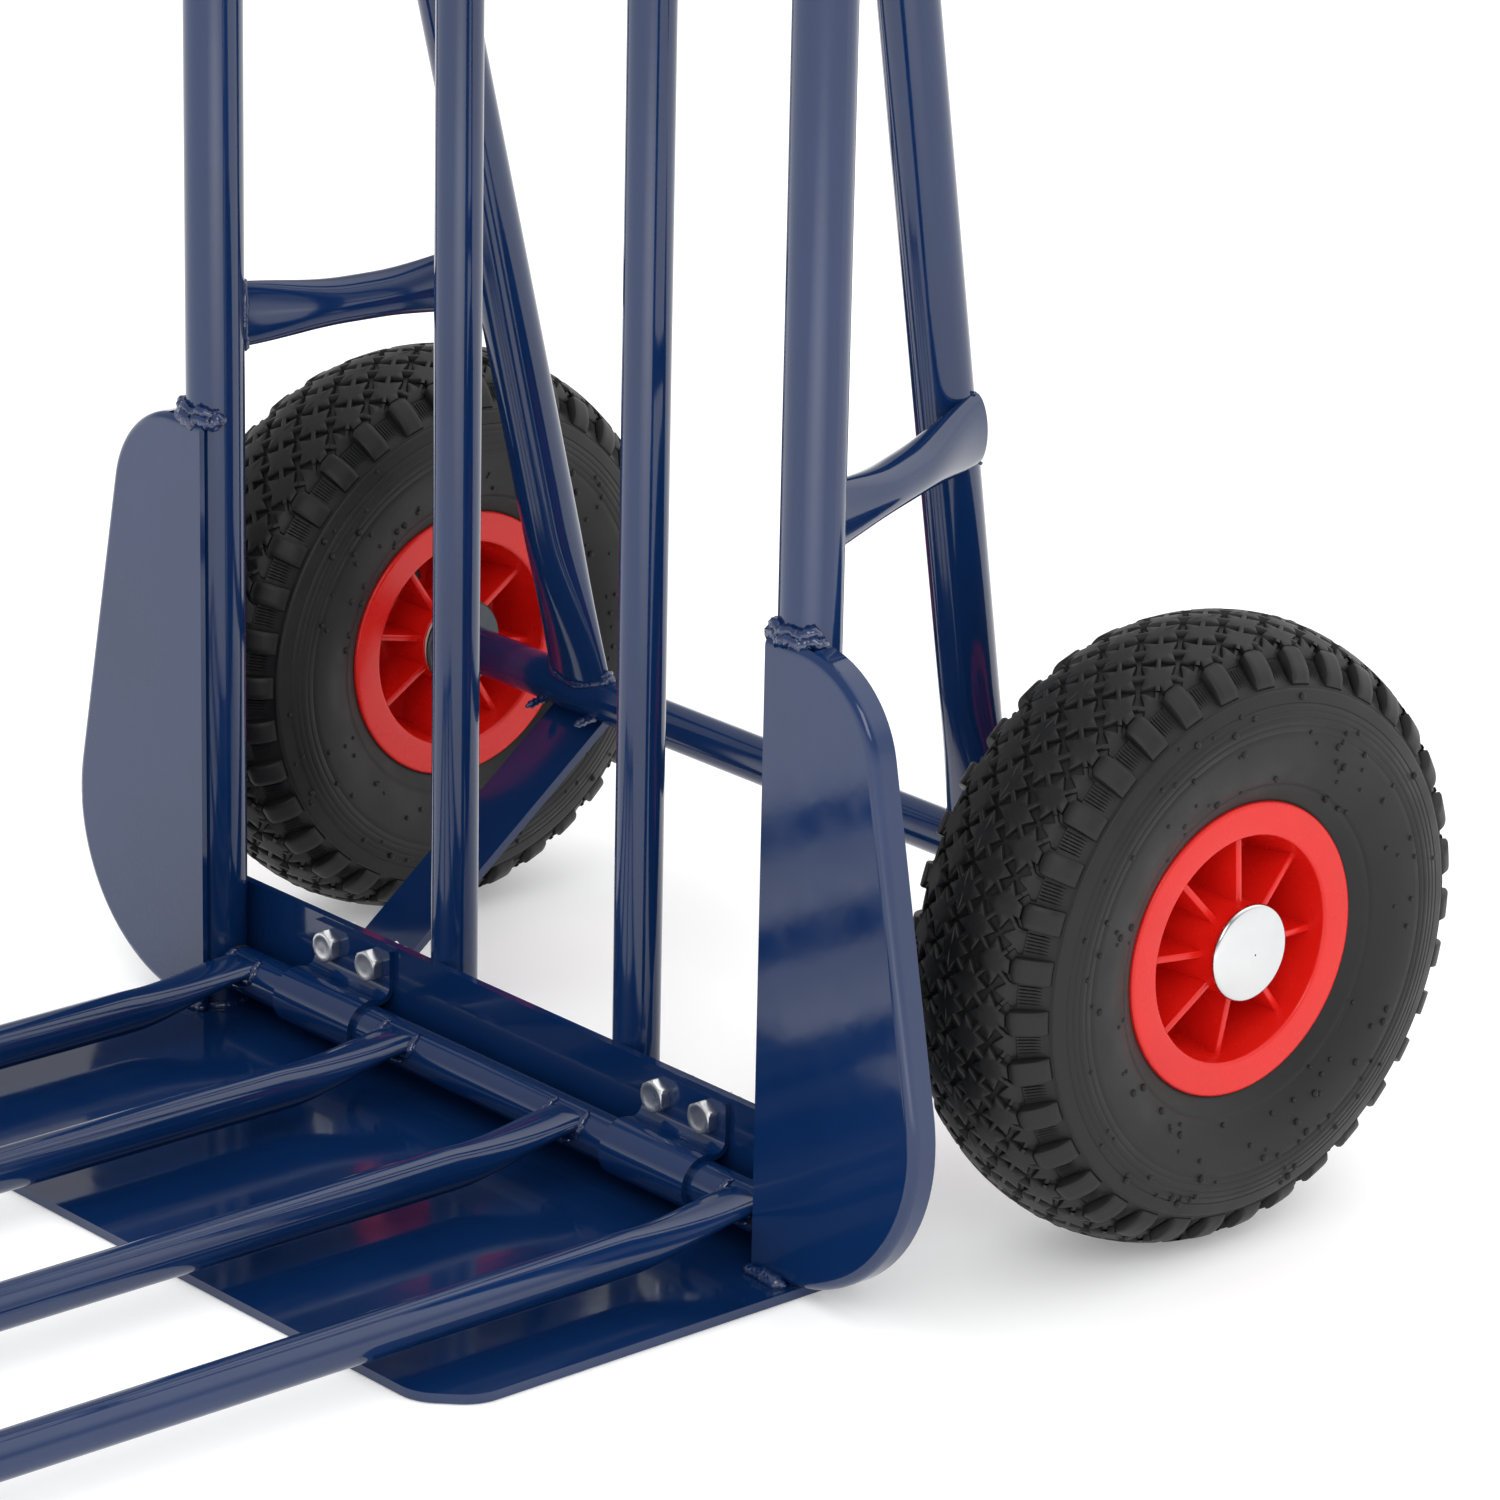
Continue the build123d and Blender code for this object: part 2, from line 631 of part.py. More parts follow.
tube_mid_r = 88.0
for side_name, phase in (("right", rib_phase), ("left", rib_phase)):
    rim_part = rim(phase)
    valve_up = wheel_plane(phase + valve_offset_deg)
    stem_plane = Plane(valve_up.origin, x_dir=(1, 0, 0), z_dir=valve_up.y_dir)
    with BuildPart() as air_tube:
        with BuildSketch(wheel_plane()):
            with Locations((0, tube_mid_r)):
                Ellipse(30.0, 28.0)
                Ellipse(28.6, 26.6, mode=Mode.SUBTRACT)
        revolve(axis=wheel_axis)
        with BuildSketch(stem_plane):
            with Locations((valve_x, 0)):
                Circle(4.0)
        extrude(amount=75, mode=Mode.SUBTRACT)
    with BuildPart() as valve:
        with BuildSketch(stem_plane.offset(36.0)):
            with Locations((valve_x, 0)):
                Circle(4.0)
        extrude(amount=30.5)
        with BuildSketch(stem_plane.offset(28.0)):
            with Locations((valve_x, 0)):
                Circle(3.2)
        extrude(amount=8.0)
        chamfer(valve.edges().filter_by(GeomType.CIRCLE).sort_by(SortBy.RADIUS)[0], 0.6)
    wheel_parts = {"rim": rim_part, "air_tube": air_tube.part, "valve": valve.part}
    for part_name, part in wheel_parts.items():
        placed = part if side_name == "right" else mirrored(part)
        save(placed, f"{part_name}_{side_name}")

with BuildPart() as bushes_right:
    for x0, sign in ((-hub_in_x, 1), (hub_out_x, -1)):
        start = wheel_x + x0
        flange_len = 3.0 if sign > 0 else 0.0
        with BuildSketch(Plane.YZ.offset(start)):
            with Locations((axle_y, axle_z)):
                Circle(13.0)
                Circle(axle_r + 0.06, mode=Mode.SUBTRACT)
        extrude(amount=sign * 22.0)
        if flange_len:
            with BuildSketch(Plane.YZ.offset(start)):
                with Locations((axle_y, axle_z)):
                    Circle(18.0)
                    Circle(axle_r + 0.06, mode=Mode.SUBTRACT)
            extrude(amount=sign * flange_len)
save(bushes_right.part, "bushes_right")
save(mirrored(bushes_right.part), "bushes_left")

cap_r = 20.3
cap_edge_x = 38.0
cap_crown_x = 40.6
dome_rise = 2.4
dome_r = ((cap_r - 1.5) ** 2 + dome_rise ** 2) / (2 * dome_rise)
dome_deg = math.degrees(math.asin((cap_r - 1.5) / dome_r))
dome_edge_x = cap_crown_x - dome_r + dome_r * math.cos(math.radians(dome_deg))
inner_deg = math.degrees(math.asin(17.5 / (dome_r - 1.0)))
dome_in_x = cap_crown_x - dome_r + (dome_r - 1.0) * math.cos(math.radians(inner_deg))
with BuildPart() as cap_right:
    with BuildSketch(wheel_plane()):
        with BuildLine():
            Line((hub_out_x, 17.5), (hub_out_x, cap_r))
            Line((hub_out_x, cap_r), (cap_edge_x, cap_r))
            Line((cap_edge_x, cap_r), (dome_edge_x, cap_r - 1.5))
            CenterArc((cap_crown_x - dome_r, 0), dome_r, dome_deg, -dome_deg)
            Line((cap_crown_x, 0), (cap_crown_x - 1.0, 0))
            CenterArc((cap_crown_x - dome_r, 0), dome_r - 1.0, 0, inner_deg)
            Line((dome_in_x, 17.5), (hub_out_x, 17.5))
        make_face()
    revolve(axis=wheel_axis)
save(cap_right.part, "cap_right")
save(mirrored(cap_right.part), "cap_left")
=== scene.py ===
import json
import math
import random

import bmesh
import bpy
import numpy as np
from mathutils import Matrix, Vector
from mathutils.geometry import delaunay_2d_cdt


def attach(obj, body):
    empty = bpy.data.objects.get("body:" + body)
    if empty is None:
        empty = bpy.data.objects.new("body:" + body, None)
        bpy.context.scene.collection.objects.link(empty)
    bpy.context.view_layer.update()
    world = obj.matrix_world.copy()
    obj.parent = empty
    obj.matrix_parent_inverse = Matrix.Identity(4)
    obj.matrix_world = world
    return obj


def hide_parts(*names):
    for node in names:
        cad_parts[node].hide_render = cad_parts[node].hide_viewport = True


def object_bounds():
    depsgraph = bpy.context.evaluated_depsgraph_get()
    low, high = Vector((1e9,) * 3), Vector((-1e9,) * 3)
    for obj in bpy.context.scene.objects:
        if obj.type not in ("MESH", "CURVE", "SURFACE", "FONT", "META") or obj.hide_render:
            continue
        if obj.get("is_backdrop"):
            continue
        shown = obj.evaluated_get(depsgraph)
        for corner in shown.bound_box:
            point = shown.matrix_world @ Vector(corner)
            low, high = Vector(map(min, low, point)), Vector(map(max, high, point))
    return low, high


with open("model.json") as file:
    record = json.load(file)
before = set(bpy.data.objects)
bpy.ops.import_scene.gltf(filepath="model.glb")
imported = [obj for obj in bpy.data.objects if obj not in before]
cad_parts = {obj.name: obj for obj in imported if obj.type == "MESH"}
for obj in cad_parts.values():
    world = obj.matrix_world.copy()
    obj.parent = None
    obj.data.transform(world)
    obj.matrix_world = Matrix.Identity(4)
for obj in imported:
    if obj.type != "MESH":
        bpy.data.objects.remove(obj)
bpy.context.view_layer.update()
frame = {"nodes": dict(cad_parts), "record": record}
nodes = frame["nodes"]
MM = 0.001

# ---------------------------------------------------------------- wheel sizes, mm
WHEEL_X = 247.0
AXLE_Y = 155.0
AXLE_Z = 130.0
PITCHES = 35
PITCH_DEG = 360.0 / PITCHES
COLUMN = 10.3  # arc length between neighbouring columns of star blocks
GROOVE = 2.5  # depth of the grooves round the star blocks
NECK = 0.065  # half width of the necks that join stars, as a share of the lattice
ARM_END = 0.162
ARM_MID = 0.070
SHOULDER_END = 31.8  # arc length where the sloped shoulder block ends
LUG_END = 45.1  # arc length where the shoulder lug ends
PIPS_PER_SIDE = 125
RIB_COUNT = 8

# ---------------------------------------------------------------- frame sizes, mm
RAIL_X = 191.0
STRAP_X = 134.0
INNER_X = 60.0
PLATE_TOP_Z = 5.0
BOLT_Z = 45.4
CROSSBAR_Z = (610.0, 890.0)


# ---------------------------------------------------------------- materials
def new_material(name):
    mat = bpy.data.materials.new(name)
    mat.use_nodes = True
    tree = mat.node_tree
    shader = next(n for n in tree.nodes if n.type == "BSDF_PRINCIPLED")
    return mat, tree, shader


def coords(tree):
    return tree.nodes.new("ShaderNodeTexCoord").outputs["Object"]


def noise(tree, where, scale, detail=4.0, rough=0.5):
    node = tree.nodes.new("ShaderNodeTexNoise")
    node.inputs["Scale"].default_value = scale
    node.inputs["Detail"].default_value = detail
    node.inputs["Roughness"].default_value = rough
    tree.links.new(where, node.inputs["Vector"])
    return node.outputs["Fac"]


def ramp(tree, fac, stops):
    node = tree.nodes.new("ShaderNodeValToRGB")
    elements = node.color_ramp.elements
    elements[0].position, elements[0].color = stops[0][0], (*stops[0][1], 1.0)
    elements[1].position, elements[1].color = stops[-1][0], (*stops[-1][1], 1.0)
    for position, colour in stops[1:-1]:
        made = elements.new(position)
        made.color = (*colour, 1.0)
    tree.links.new(fac, node.inputs["Fac"])
    return node.outputs["Color"]


def span(tree, fac, low, high, from_low=0.3, from_high=0.7):
    node = tree.nodes.new("ShaderNodeMapRange")
    node.inputs["From Min"].default_value = from_low
    node.inputs["From Max"].default_value = from_high
    node.inputs["To Min"].default_value = low
    node.inputs["To Max"].default_value = high
    tree.links.new(fac, node.inputs["Value"])
    return node.outputs["Result"]


def bump(tree, shader, fac, strength, distance):
    node = tree.nodes.new("ShaderNodeBump")
    node.inputs["Strength"].default_value = strength
    node.inputs["Distance"].default_value = distance
    tree.links.new(fac, node.inputs["Height"])
    tree.links.new(node.outputs["Normal"], shader.inputs["Normal"])
    return node


def surface(name, low, high, scale, rough, ior=1.5, metallic=0.0, bump_scale=200.0,
            bump_strength=0.1, bump_distance=0.0003, coat=0.0, rough_scale=60.0):
    """A procedural finish: colour drifts between two tones, roughness and relief vary."""
    mat, tree, shader = new_material(name)
    where = coords(tree)
    tone = noise(tree, where, scale, 5.0, 0.6)
    tree.links.new(ramp(tree, tone, [(0.3, low), (0.7, high)]), shader.inputs["Base Color"])
    worn = noise(tree, where, rough_scale, 3.0, 0.5)
    tree.links.new(span(tree, worn, rough[0], rough[1]), shader.inputs["Roughness"])
    shader.inputs["IOR"].default_value = ior
    shader.inputs["Metallic"].default_value = metallic
    shader.inputs["Coat Weight"].default_value = coat
    shader.inputs["Coat Roughness"].default_value = 0.05
    relief = noise(tree, where, bump_scale, 4.0, 0.55)
    bump(tree, shader, relief, bump_strength, bump_distance)
    return mat


BLUE = surface("blue_gloss", (0.0022, 0.0150, 0.064), (0.0032, 0.0200, 0.082), 9.0,
               (0.07, 0.13), ior=1.56, bump_scale=140.0, bump_strength=0.05,
               bump_distance=0.0004)
WELD = surface("blue_weld", (0.0025, 0.0135, 0.060), (0.0042, 0.021, 0.088), 300.0,
               (0.05, 0.16), ior=1.75, bump_scale=420.0, bump_strength=0.5,
               bump_distance=0.0005)
RED = surface("red_moulded", (0.56, 0.0055, 0.0035), (0.65, 0.0105, 0.0060), 14.0,
              (0.20, 0.32), ior=1.44, bump_scale=500.0, bump_strength=0.06,
              bump_distance=0.0002)
RUBBER = surface("black_rubber", (0.0045, 0.0045, 0.0047), (0.0095, 0.0095, 0.0098), 60.0,
                 (0.44, 0.60), ior=1.41, bump_scale=900.0, bump_strength=0.25,
                 bump_distance=0.0003)
GRIP = surface("grip_rubber", (0.011, 0.011, 0.012), (0.020, 0.020, 0.021), 40.0,
               (0.45, 0.62), bump_scale=700.0, bump_strength=0.2)
BLACK = surface("black_plastic", (0.010, 0.010, 0.011), (0.018, 0.018, 0.019), 30.0,
                (0.35, 0.5), bump_scale=500.0, bump_strength=0.12)
NYLON = surface("nylon", (0.55, 0.54, 0.50), (0.66, 0.65, 0.61), 30.0, (0.4, 0.5),
                bump_scale=400.0, bump_strength=0.1)
ZINC = surface("bright_zinc", (0.62, 0.63, 0.64), (0.78, 0.785, 0.79), 110.0,
               (0.24, 0.40), metallic=1.0, bump_scale=520.0, bump_strength=0.12,
               bump_distance=0.0003)
STEEL = surface("grey_steel", (0.05, 0.056, 0.064), (0.085, 0.092, 0.10), 60.0,
                (0.32, 0.5), metallic=0.8, bump_scale=400.0, bump_strength=0.15)
CHROME = surface("chrome_cap", (0.60, 0.605, 0.61), (0.67, 0.675, 0.68), 25.0,
                 (0.05, 0.10), metallic=1.0, bump_scale=90.0, bump_strength=0.02,
                 bump_distance=0.0002)
FINISH = {
    "blue_paint": BLUE, "red_plastic": RED, "tyre": RUBBER, "butyl": RUBBER,
    "grip_rubber": GRIP, "foot_rubber": GRIP, "black_plastic": BLACK, "nylon": NYLON,
    "zinc": ZINC, "grey_steel": STEEL, "chrome": CHROME,
}


SLOT_OF = {}
for part in frame["record"]["subparts"]:
    SLOT_OF[part.get("node") or part.get("name")] = part["material_slot"]

for name, obj in nodes.items():
    key = SLOT_OF[name]
    obj.data.materials.clear()
    obj.data.materials.append(FINISH.get(key, BLUE))


# ---------------------------------------------------------------- mesh helpers
def make_object(name, verts, faces, mats, indices=None, sharp_deg=50.0):
    """One mesh object from lists in metres, smooth shaded with hard edges by angle."""
    mesh = bpy.data.meshes.new(name)
    mesh.from_pydata([tuple(v) for v in verts], [], [tuple(f) for f in faces])
    for mat in mats:
        mesh.materials.append(mat)
    if indices is not None:
        mesh.polygons.foreach_set("material_index", np.array(indices, dtype=np.int32))
    work = bmesh.new()
    work.from_mesh(mesh)
    bmesh.ops.remove_doubles(work, verts=work.verts, dist=2e-6)
    limit = math.radians(sharp_deg)
    for face in work.faces:
        face.smooth = True
    for edge in work.edges:
        edge.smooth = len(edge.link_faces) == 2 and edge.calc_face_angle(0.0) < limit
    work.to_mesh(mesh)
    work.free()
    obj = bpy.data.objects.new(name, mesh)
    bpy.context.scene.collection.objects.link(obj)
    return obj


# ---------------------------------------------------------------- tyre profile
KNOTS = [(0.0, 130.0), (9.0, 129.3), (18.0, 127.2), (26.0, 123.9), (32.0, 119.6),
         (36.6, 113.8), (39.8, 106.5), (41.9, 98.5), (42.5, 91.0), (41.7, 82.0),
         (39.2, 74.0), (35.6, 66.8), (31.8, 61.3)]


def smooth_line(points, steps=24):
    pts = np.array(points, float)
    head = pts[0] * 2 - pts[1]
    head = np.array([-pts[1][0], pts[1][1]]) if abs(pts[0][0]) < 1e-9 else head
    pts = np.vstack([head, pts, pts[-1] * 2 - pts[-2]])
    out = []
    for i in range(1, len(pts) - 2):
        p0, p1, p2, p3 = pts[i - 1], pts[i], pts[i + 1], pts[i + 2]
        for k in range(steps):
            t = k / steps
            out.append(0.5 * ((2 * p1) + (p2 - p0) * t + (2 * p0 - 5 * p1 + 4 * p2 - p3) * t ** 2
                              + (3 * p1 - p0 - 3 * p2 + p3) * t ** 3))
    out.append(pts[-2])
    return np.array(out)


LINE = smooth_line(KNOTS)
ARC = np.concatenate([[0.0], np.cumsum(np.linalg.norm(np.diff(LINE, axis=0), axis=1))])
SIDE_END = float(ARC[-1])


def profile(s):
    """Points (x, r) and outward normals of the tyre's outer line at arc lengths s, mm."""
    s = np.asarray(s, float)
    a = np.abs(s)
    x = np.interp(a, ARC, LINE[:, 0])
    r = np.interp(a, ARC, LINE[:, 1])
    h = 0.4
    dx = np.interp(a + h, ARC, LINE[:, 0]) - np.interp(np.abs(a - h), ARC, LINE[:, 0]) * np.sign(
        np.where(a - h == 0, 1, a - h))
    dr = np.interp(a + h, ARC, LINE[:, 1]) - np.interp(np.abs(a - h), ARC, LINE[:, 1])
    length = np.hypot(dx, dr)
    nx, nr = -dr / length, dx / length
    sign = np.where(s < 0, -1.0, 1.0)
    return x * sign, r, nx * sign, nr


def place(s, deg, depth, side):
    """Tyre points in metres; deg runs from the top towards the front, depth goes inwards."""
    x, r, nx, nr = profile(s)
    x = x - nx * depth
    r = r - nr * depth
    a = np.radians(deg)
    return np.stack([(side * (WHEEL_X + x)) * MM, (AXLE_Y - r * np.sin(a)) * MM,
                     (AXLE_Z + r * np.cos(a)) * MM], axis=-1)


# ---------------------------------------------------------------- tread blocks
DEG_MM = 124.0 * math.pi / 180.0


def inset(points, open_edges, distance):
    """Moves each polygon edge inwards by distance, open edges not at all."""
    pts = np.array([(s, d * DEG_MM) for s, d in points])
    n = len(pts)
    out = []
    for i in range(n):
        a, b, c = pts[i - 1], pts[i], pts[(i + 1) % n]
        e1, e2 = (b - a) / np.linalg.norm(b - a), (c - b) / np.linalg.norm(c - b)
        n1, n2 = np.array([-e1[1], e1[0]]), np.array([-e2[1], e2[0]])
        d1 = 0.0 if (i - 1) % n in open_edges else distance
        d2 = 0.0 if i in open_edges else distance
        m = np.array([n1, n2])
        if abs(np.linalg.det(m)) < 0.15:
            v = b + (n1 * d1 + n2 * d2) / 2
        else:
            v = b + np.linalg.solve(m, np.array([d1, d2]))
        out.append(v)
    return [(p[0], p[1] / DEG_MM) for p in out]


def split_long(points, open_edges, longest=2.2):
    out, opened = [], set()
    n = len(points)
    for i in range(n):
        a, b = points[i], points[(i + 1) % n]
        size = math.hypot(b[0] - a[0], (b[1] - a[1]) * DEG_MM)
        parts = 1 if i in open_edges else max(1, int(math.ceil(size / longest)))
        for k in range(parts):
            if i in open_edges:
                opened.add(len(out))
            t = k / parts
            out.append((a[0] + (b[0] - a[0]) * t, a[1] + (b[1] - a[1]) * t))
    return out, opened


def inside(point, poly):
    x, y = point
    hit = False
    n = len(poly)
    for i in range(n):
        (x1, y1), (x2, y2) = poly[i], poly[(i + 1) % n]
        if (y1 > y) != (y2 > y) and x < (x2 - x1) * (y - y1) / (y2 - y1) + x1:
            hit = not hit
    return hit


def block(points, open_edges, longest=2.2):
    """A raised block: (s, deg, depth) vertices and faces, from its outline in (s, deg)."""
    area = sum(points[i - 1][0] * points[i][1] - points[i][0] * points[i - 1][1]
               for i in range(len(points)))
    assert area > 0
    outline, opened = split_long(points, open_edges, longest)
    top = inset(outline, opened, 0.32)
    foot = inset(outline, opened, -0.25)
    n = len(outline)
    grid = []
    lo = np.min(np.array(top), axis=0)
    hi = np.max(np.array(top), axis=0)
    margin = inset(outline, opened, 1.1)
    step = 2.4
    for i in range(1, int((hi[0] - lo[0]) / step) + 1):
        for j in range(1, int((hi[1] - lo[1]) * DEG_MM / step) + 1):
            p = (lo[0] + i * step, lo[1] + j * step / DEG_MM)
            if inside(p, margin):
                grid.append(p)
    flat = [Vector((p[0], p[1] * DEG_MM)) for p in top + grid]
    edges = [(i, (i + 1) % n) for i in range(n)]
    coords2, _, tris, origin, _, _ = delaunay_2d_cdt(flat, edges, [list(range(n))], 1, 1e-6)
    verts = [(p[0], p[1] / DEG_MM, 0.0) for p in coords2]
    index_of = {}
    for new, olds in enumerate(origin):
        for old in olds:
            index_of[old] = new
    faces = [tuple(t) for t in tris]
    mid = len(verts)
    verts += [(s, d, 0.30) for s, d in outline]
    low = len(verts)
    verts += [(s, d, -1.0) for s, d in foot]
    for i in range(n):
        j = (i + 1) % n
        if i in opened:
            continue
        faces.append((mid + i, mid + j, index_of[j], index_of[i]))
        faces.append((low + i, low + j, mid + j, mid + i))
    return np.array(verts), faces


def star_corner_points(which):
    nh, we, wm = NECK, ARM_END, ARM_MID
    sides = {
        "c1": [(0.5 - we, nh), (0.5 - wm, 0.5 - wm), (nh, 0.5 - we)],
        "c4": [(-nh, 0.5 - we), (-0.5 + wm, 0.5 - wm), (-0.5 + we, nh)],
        "c3": [(-0.5 + we, -nh), (-0.5 + wm, -0.5 + wm), (-nh, -0.5 + we)],
        "c2": [(nh, -0.5 + we), (0.5 - wm, -0.5 + wm), (0.5 - we, -nh)],
    }
    return sides[which]


def lattice(p, q, s0, d0):
    return (s0 + (p + q) * COLUMN, d0 + (p - q) * PITCH_DEG / 2)


def star(s0, outer=False):
    """One star block at column s0; outer cuts its outer corner flat beside the shoulder."""
    nh = NECK
    pts, opened = [], set()

    def put(p, q):
        pts.append(lattice(p, q, s0, 0.0))

    # anticlockwise in (p, q) is clockwise in (s, deg), so the walk runs backwards
    walk = [("c1", (nh, 0.5), (-nh, 0.5)), ("c4", (-0.5, nh), (-0.5, -nh)),
            ("c3", (-nh, -0.5), (nh, -0.5)), ("c2", (0.5, -nh), (0.5, nh))]
    for corner, first, second in walk:
        if corner == "c1" and outer:
            pts.append(lattice(0.5 - ARM_END, nh, s0, 0.0))
            pts.append((27.7, 1.72))
            pts.append((27.6, -0.72))
            pts.append(lattice(nh, 0.5 - ARM_END, s0, 0.0))
        else:
            for p, q in star_corner_points(corner):
                put(p, q)
        put(*first)
        opened.add(len(pts) - 1)
        put(*second)
    n = len(pts)
    back = pts[::-1]
    opened = {(n - 2 - i) % n for i in opened}
    return back, opened


def hatch_outline(end):
    """Shoulder block between two lugs, from its inner star corner to its outer end."""
    nh, s0 = NECK, 3 * COLUMN
    up = [lattice(-0.5 + ARM_MID, -0.5 + ARM_MID, s0, 0.0),
          lattice(-nh, -0.5 + ARM_END, s0, 0.0),
          lattice(-nh, -0.5, s0, 0.0), lattice(nh, -0.5, s0, 0.0),
          lattice(nh, -0.5 + ARM_END, s0, 0.0),
          (29.7, 3.0), (end, 3.05)]
    down = [(end, -1.70), (29.8, -1.66), (27.9, -2.0),
            lattice(-0.5, nh, s0, 0.0), lattice(-0.5, -nh, s0, 0.0),
            lattice(-0.5 + ARM_END, -nh, s0, 0.0)]
    return up + down, {2, len(up) + len(down) - 3}


def lug_outline(end):
    """Shoulder lug, which stands between two shoulder blocks and reaches the ring line."""
    return [(28.2, 1.75), (28.1, -0.65), (29.7, -1.57), (36.0, -1.64), (end, -1.72),
            (end, 3.26), (41.0, 3.20), (36.0, 3.12), (29.9, 3.02)], set()


def oriented(points, opened):
    area = sum(points[i - 1][0] * points[i][1] - points[i][0] * points[i - 1][1]
               for i in range(len(points)))
    if area > 0:
        return points, opened
    n = len(points)
    return points[::-1], {(n - 2 - i) % n for i in opened}


def floor_depth(s):
    """Depth of the tread's floor below the outer line at arc lengths s, mm."""
    a = np.abs(np.asarray(s, float))
    return np.interp(a, [0, 27.5, 30.5, 34.0, 39.0, 43.0, 45.2, 46.0],
                     [GROOVE, GROOVE, 3.4, 3.9, 3.5, 2.2, 0.9, 0.12])


RINGS = [(46.6, 0.35, 0.45), (53.0, 0.30, 0.45), (55.7, 0.30, 0.45), (58.3, 0.30, 0.45),
         (61.6, 0.26, 0.42), (64.4, 0.22, 0.40), (88.5, 0.30, 0.6)]


def tyre(name, side, node, phase):
    verts, faces = [], []

    def add(v, f):
        base = len(verts)
        verts.extend(v)
        faces.extend([tuple(i + base for i in (g if side > 0 else g[::-1])) for g in f])

    # carcass, swept round: groove floors, sidewalls with fine rings, and bead seats
    stations = list(np.arange(0.0, 28.0, 2.0)) + list(np.arange(28.0, 46.0, 1.2))
    stations += [45.2, 45.6, 46.0]
    for at, depth, half in RINGS:
        stations += [at - half, at - half * 0.3, at + half * 0.3, at + half]
    stations += list(np.arange(48.0, SIDE_END - 0.5, 2.4)) + [SIDE_END]
    stations = np.array(sorted(set(round(float(v), 3) for v in stations)))
    depth = floor_depth(stations)
    depth[stations > 46.0] = 0.0
    for at, deep, half in RINGS:
        depth = np.maximum(depth, deep * (np.abs(stations - at) < half * 0.5))
    s_all = np.concatenate([-stations[::-1], stations[1:]])
    d_all = np.concatenate([depth[::-1], depth[1:]])
    around = 6 * PITCHES
    angles = np.arange(around) * 360.0 / around
    ss, aa = np.meshgrid(s_all, angles)
    dd = np.tile(d_all, (around, 1))
    grid = place(ss.ravel(), aa.ravel(), dd.ravel(), side)
    # inner returns down to the bead seat on both sides
    count = len(s_all)
    extra = [(33.0, 59.2), (29.0, 58.0), (14.0, 54.0)]
    extra_in = [(-14.0, 54.0), (-29.0, 58.0), (-33.0, 59.2)]
    full = []
    for k in range(around):
        a = math.radians(angles[k])
        row = [(side * (WHEEL_X + x) * MM, (AXLE_Y - r * math.sin(a)) * MM,
                (AXLE_Z + r * math.cos(a)) * MM) for x, r in extra_in]
        row += [tuple(p) for p in grid[k * count:(k + 1) * count]]
        row += [(side * (WHEEL_X + x) * MM, (AXLE_Y - r * math.sin(a)) * MM,
                 (AXLE_Z + r * math.cos(a)) * MM) for x, r in extra]
        full.append(row)
    width = len(full[0])
    ring = []
    for k in range(around):
        n = (k + 1) % around
        for i in range(width):
            j = (i + 1) % width
            ring.append((k * width + i, k * width + j, n * width + j, n * width + i))
    add([p for row in full for p in row], [f[::-1] for f in ring])

    def stamp(outline, opened, d0, mirror, longest=2.2, slope=0.0, proud=0.0):
        """Repeats one block round the tyre; slope sinks its outer end, proud raises it."""
        pts, op = oriented(outline, opened)
        local, tri = block(pts, op, longest)
        s, d, z = local[:, 0], local[:, 1], local[:, 2]
        z = np.where(z < 0, floor_depth(s) + 0.35, z)
        fade = np.clip((45.4 - s) / 6.0, 0.0, 1.0)
        z = z + (1 - fade) * 0.15 * (z < 0.5)
        z = np.minimum(z + slope * np.clip((s - 23.5) / 8.0, 0.0, 1.0), floor_depth(s) + 0.35)
        z = z - proud * np.clip((s - 28.0) / 3.0, 0.0, 1.0) * np.clip((45.0 - s) / 4.0, 0.0, 1.0)
        for k in range(PITCHES):
            turn = phase + d0 + k * PITCH_DEG
            if mirror:
                add(place(-s, d + turn, z, side), tri)
            else:
                add(place(s, d + turn, z, side), [f[::-1] for f in tri])

    half = PITCH_DEG / 2
    stamp(*star(0.0), half, False)
    for mirror in (False, True):
        stamp(*star(COLUMN), 0.0, mirror)
        stamp(*star(2 * COLUMN, outer=True), half, mirror)
        stamp(*hatch_outline(SHOULDER_END), 0.0, mirror, slope=2.9)
        stamp(*lug_outline(LUG_END), half, mirror, proud=0.7)

    # fine ridges on the floor between the shoulder lugs
    for sign in (1, -1):
        for k in range(PITCHES):
            for j in range(6):
                d0 = phase + k * PITCH_DEG - 1.1 + j * 0.68
                s = np.array([32.0, 33.0, 36.5, 40.5, 42.8])
                base = floor_depth(s)
                lift = base - np.array([0.0, 0.5, 0.55, 0.5, 0.0])
                left = place(sign * s, d0 - 0.16, base + 0.1, side)
                crest = place(sign * s, d0, lift, side)
                right = place(sign * s, d0 + 0.16, base + 0.1, side)
                f = []
                for i in range(4):
                    f += [(i, 5 + i, 6 + i, 1 + i), (5 + i, 10 + i, 11 + i, 6 + i)]
                if sign < 0:
                    f = [g[::-1] for g in f]
                add(np.vstack([left, crest, right]), f)

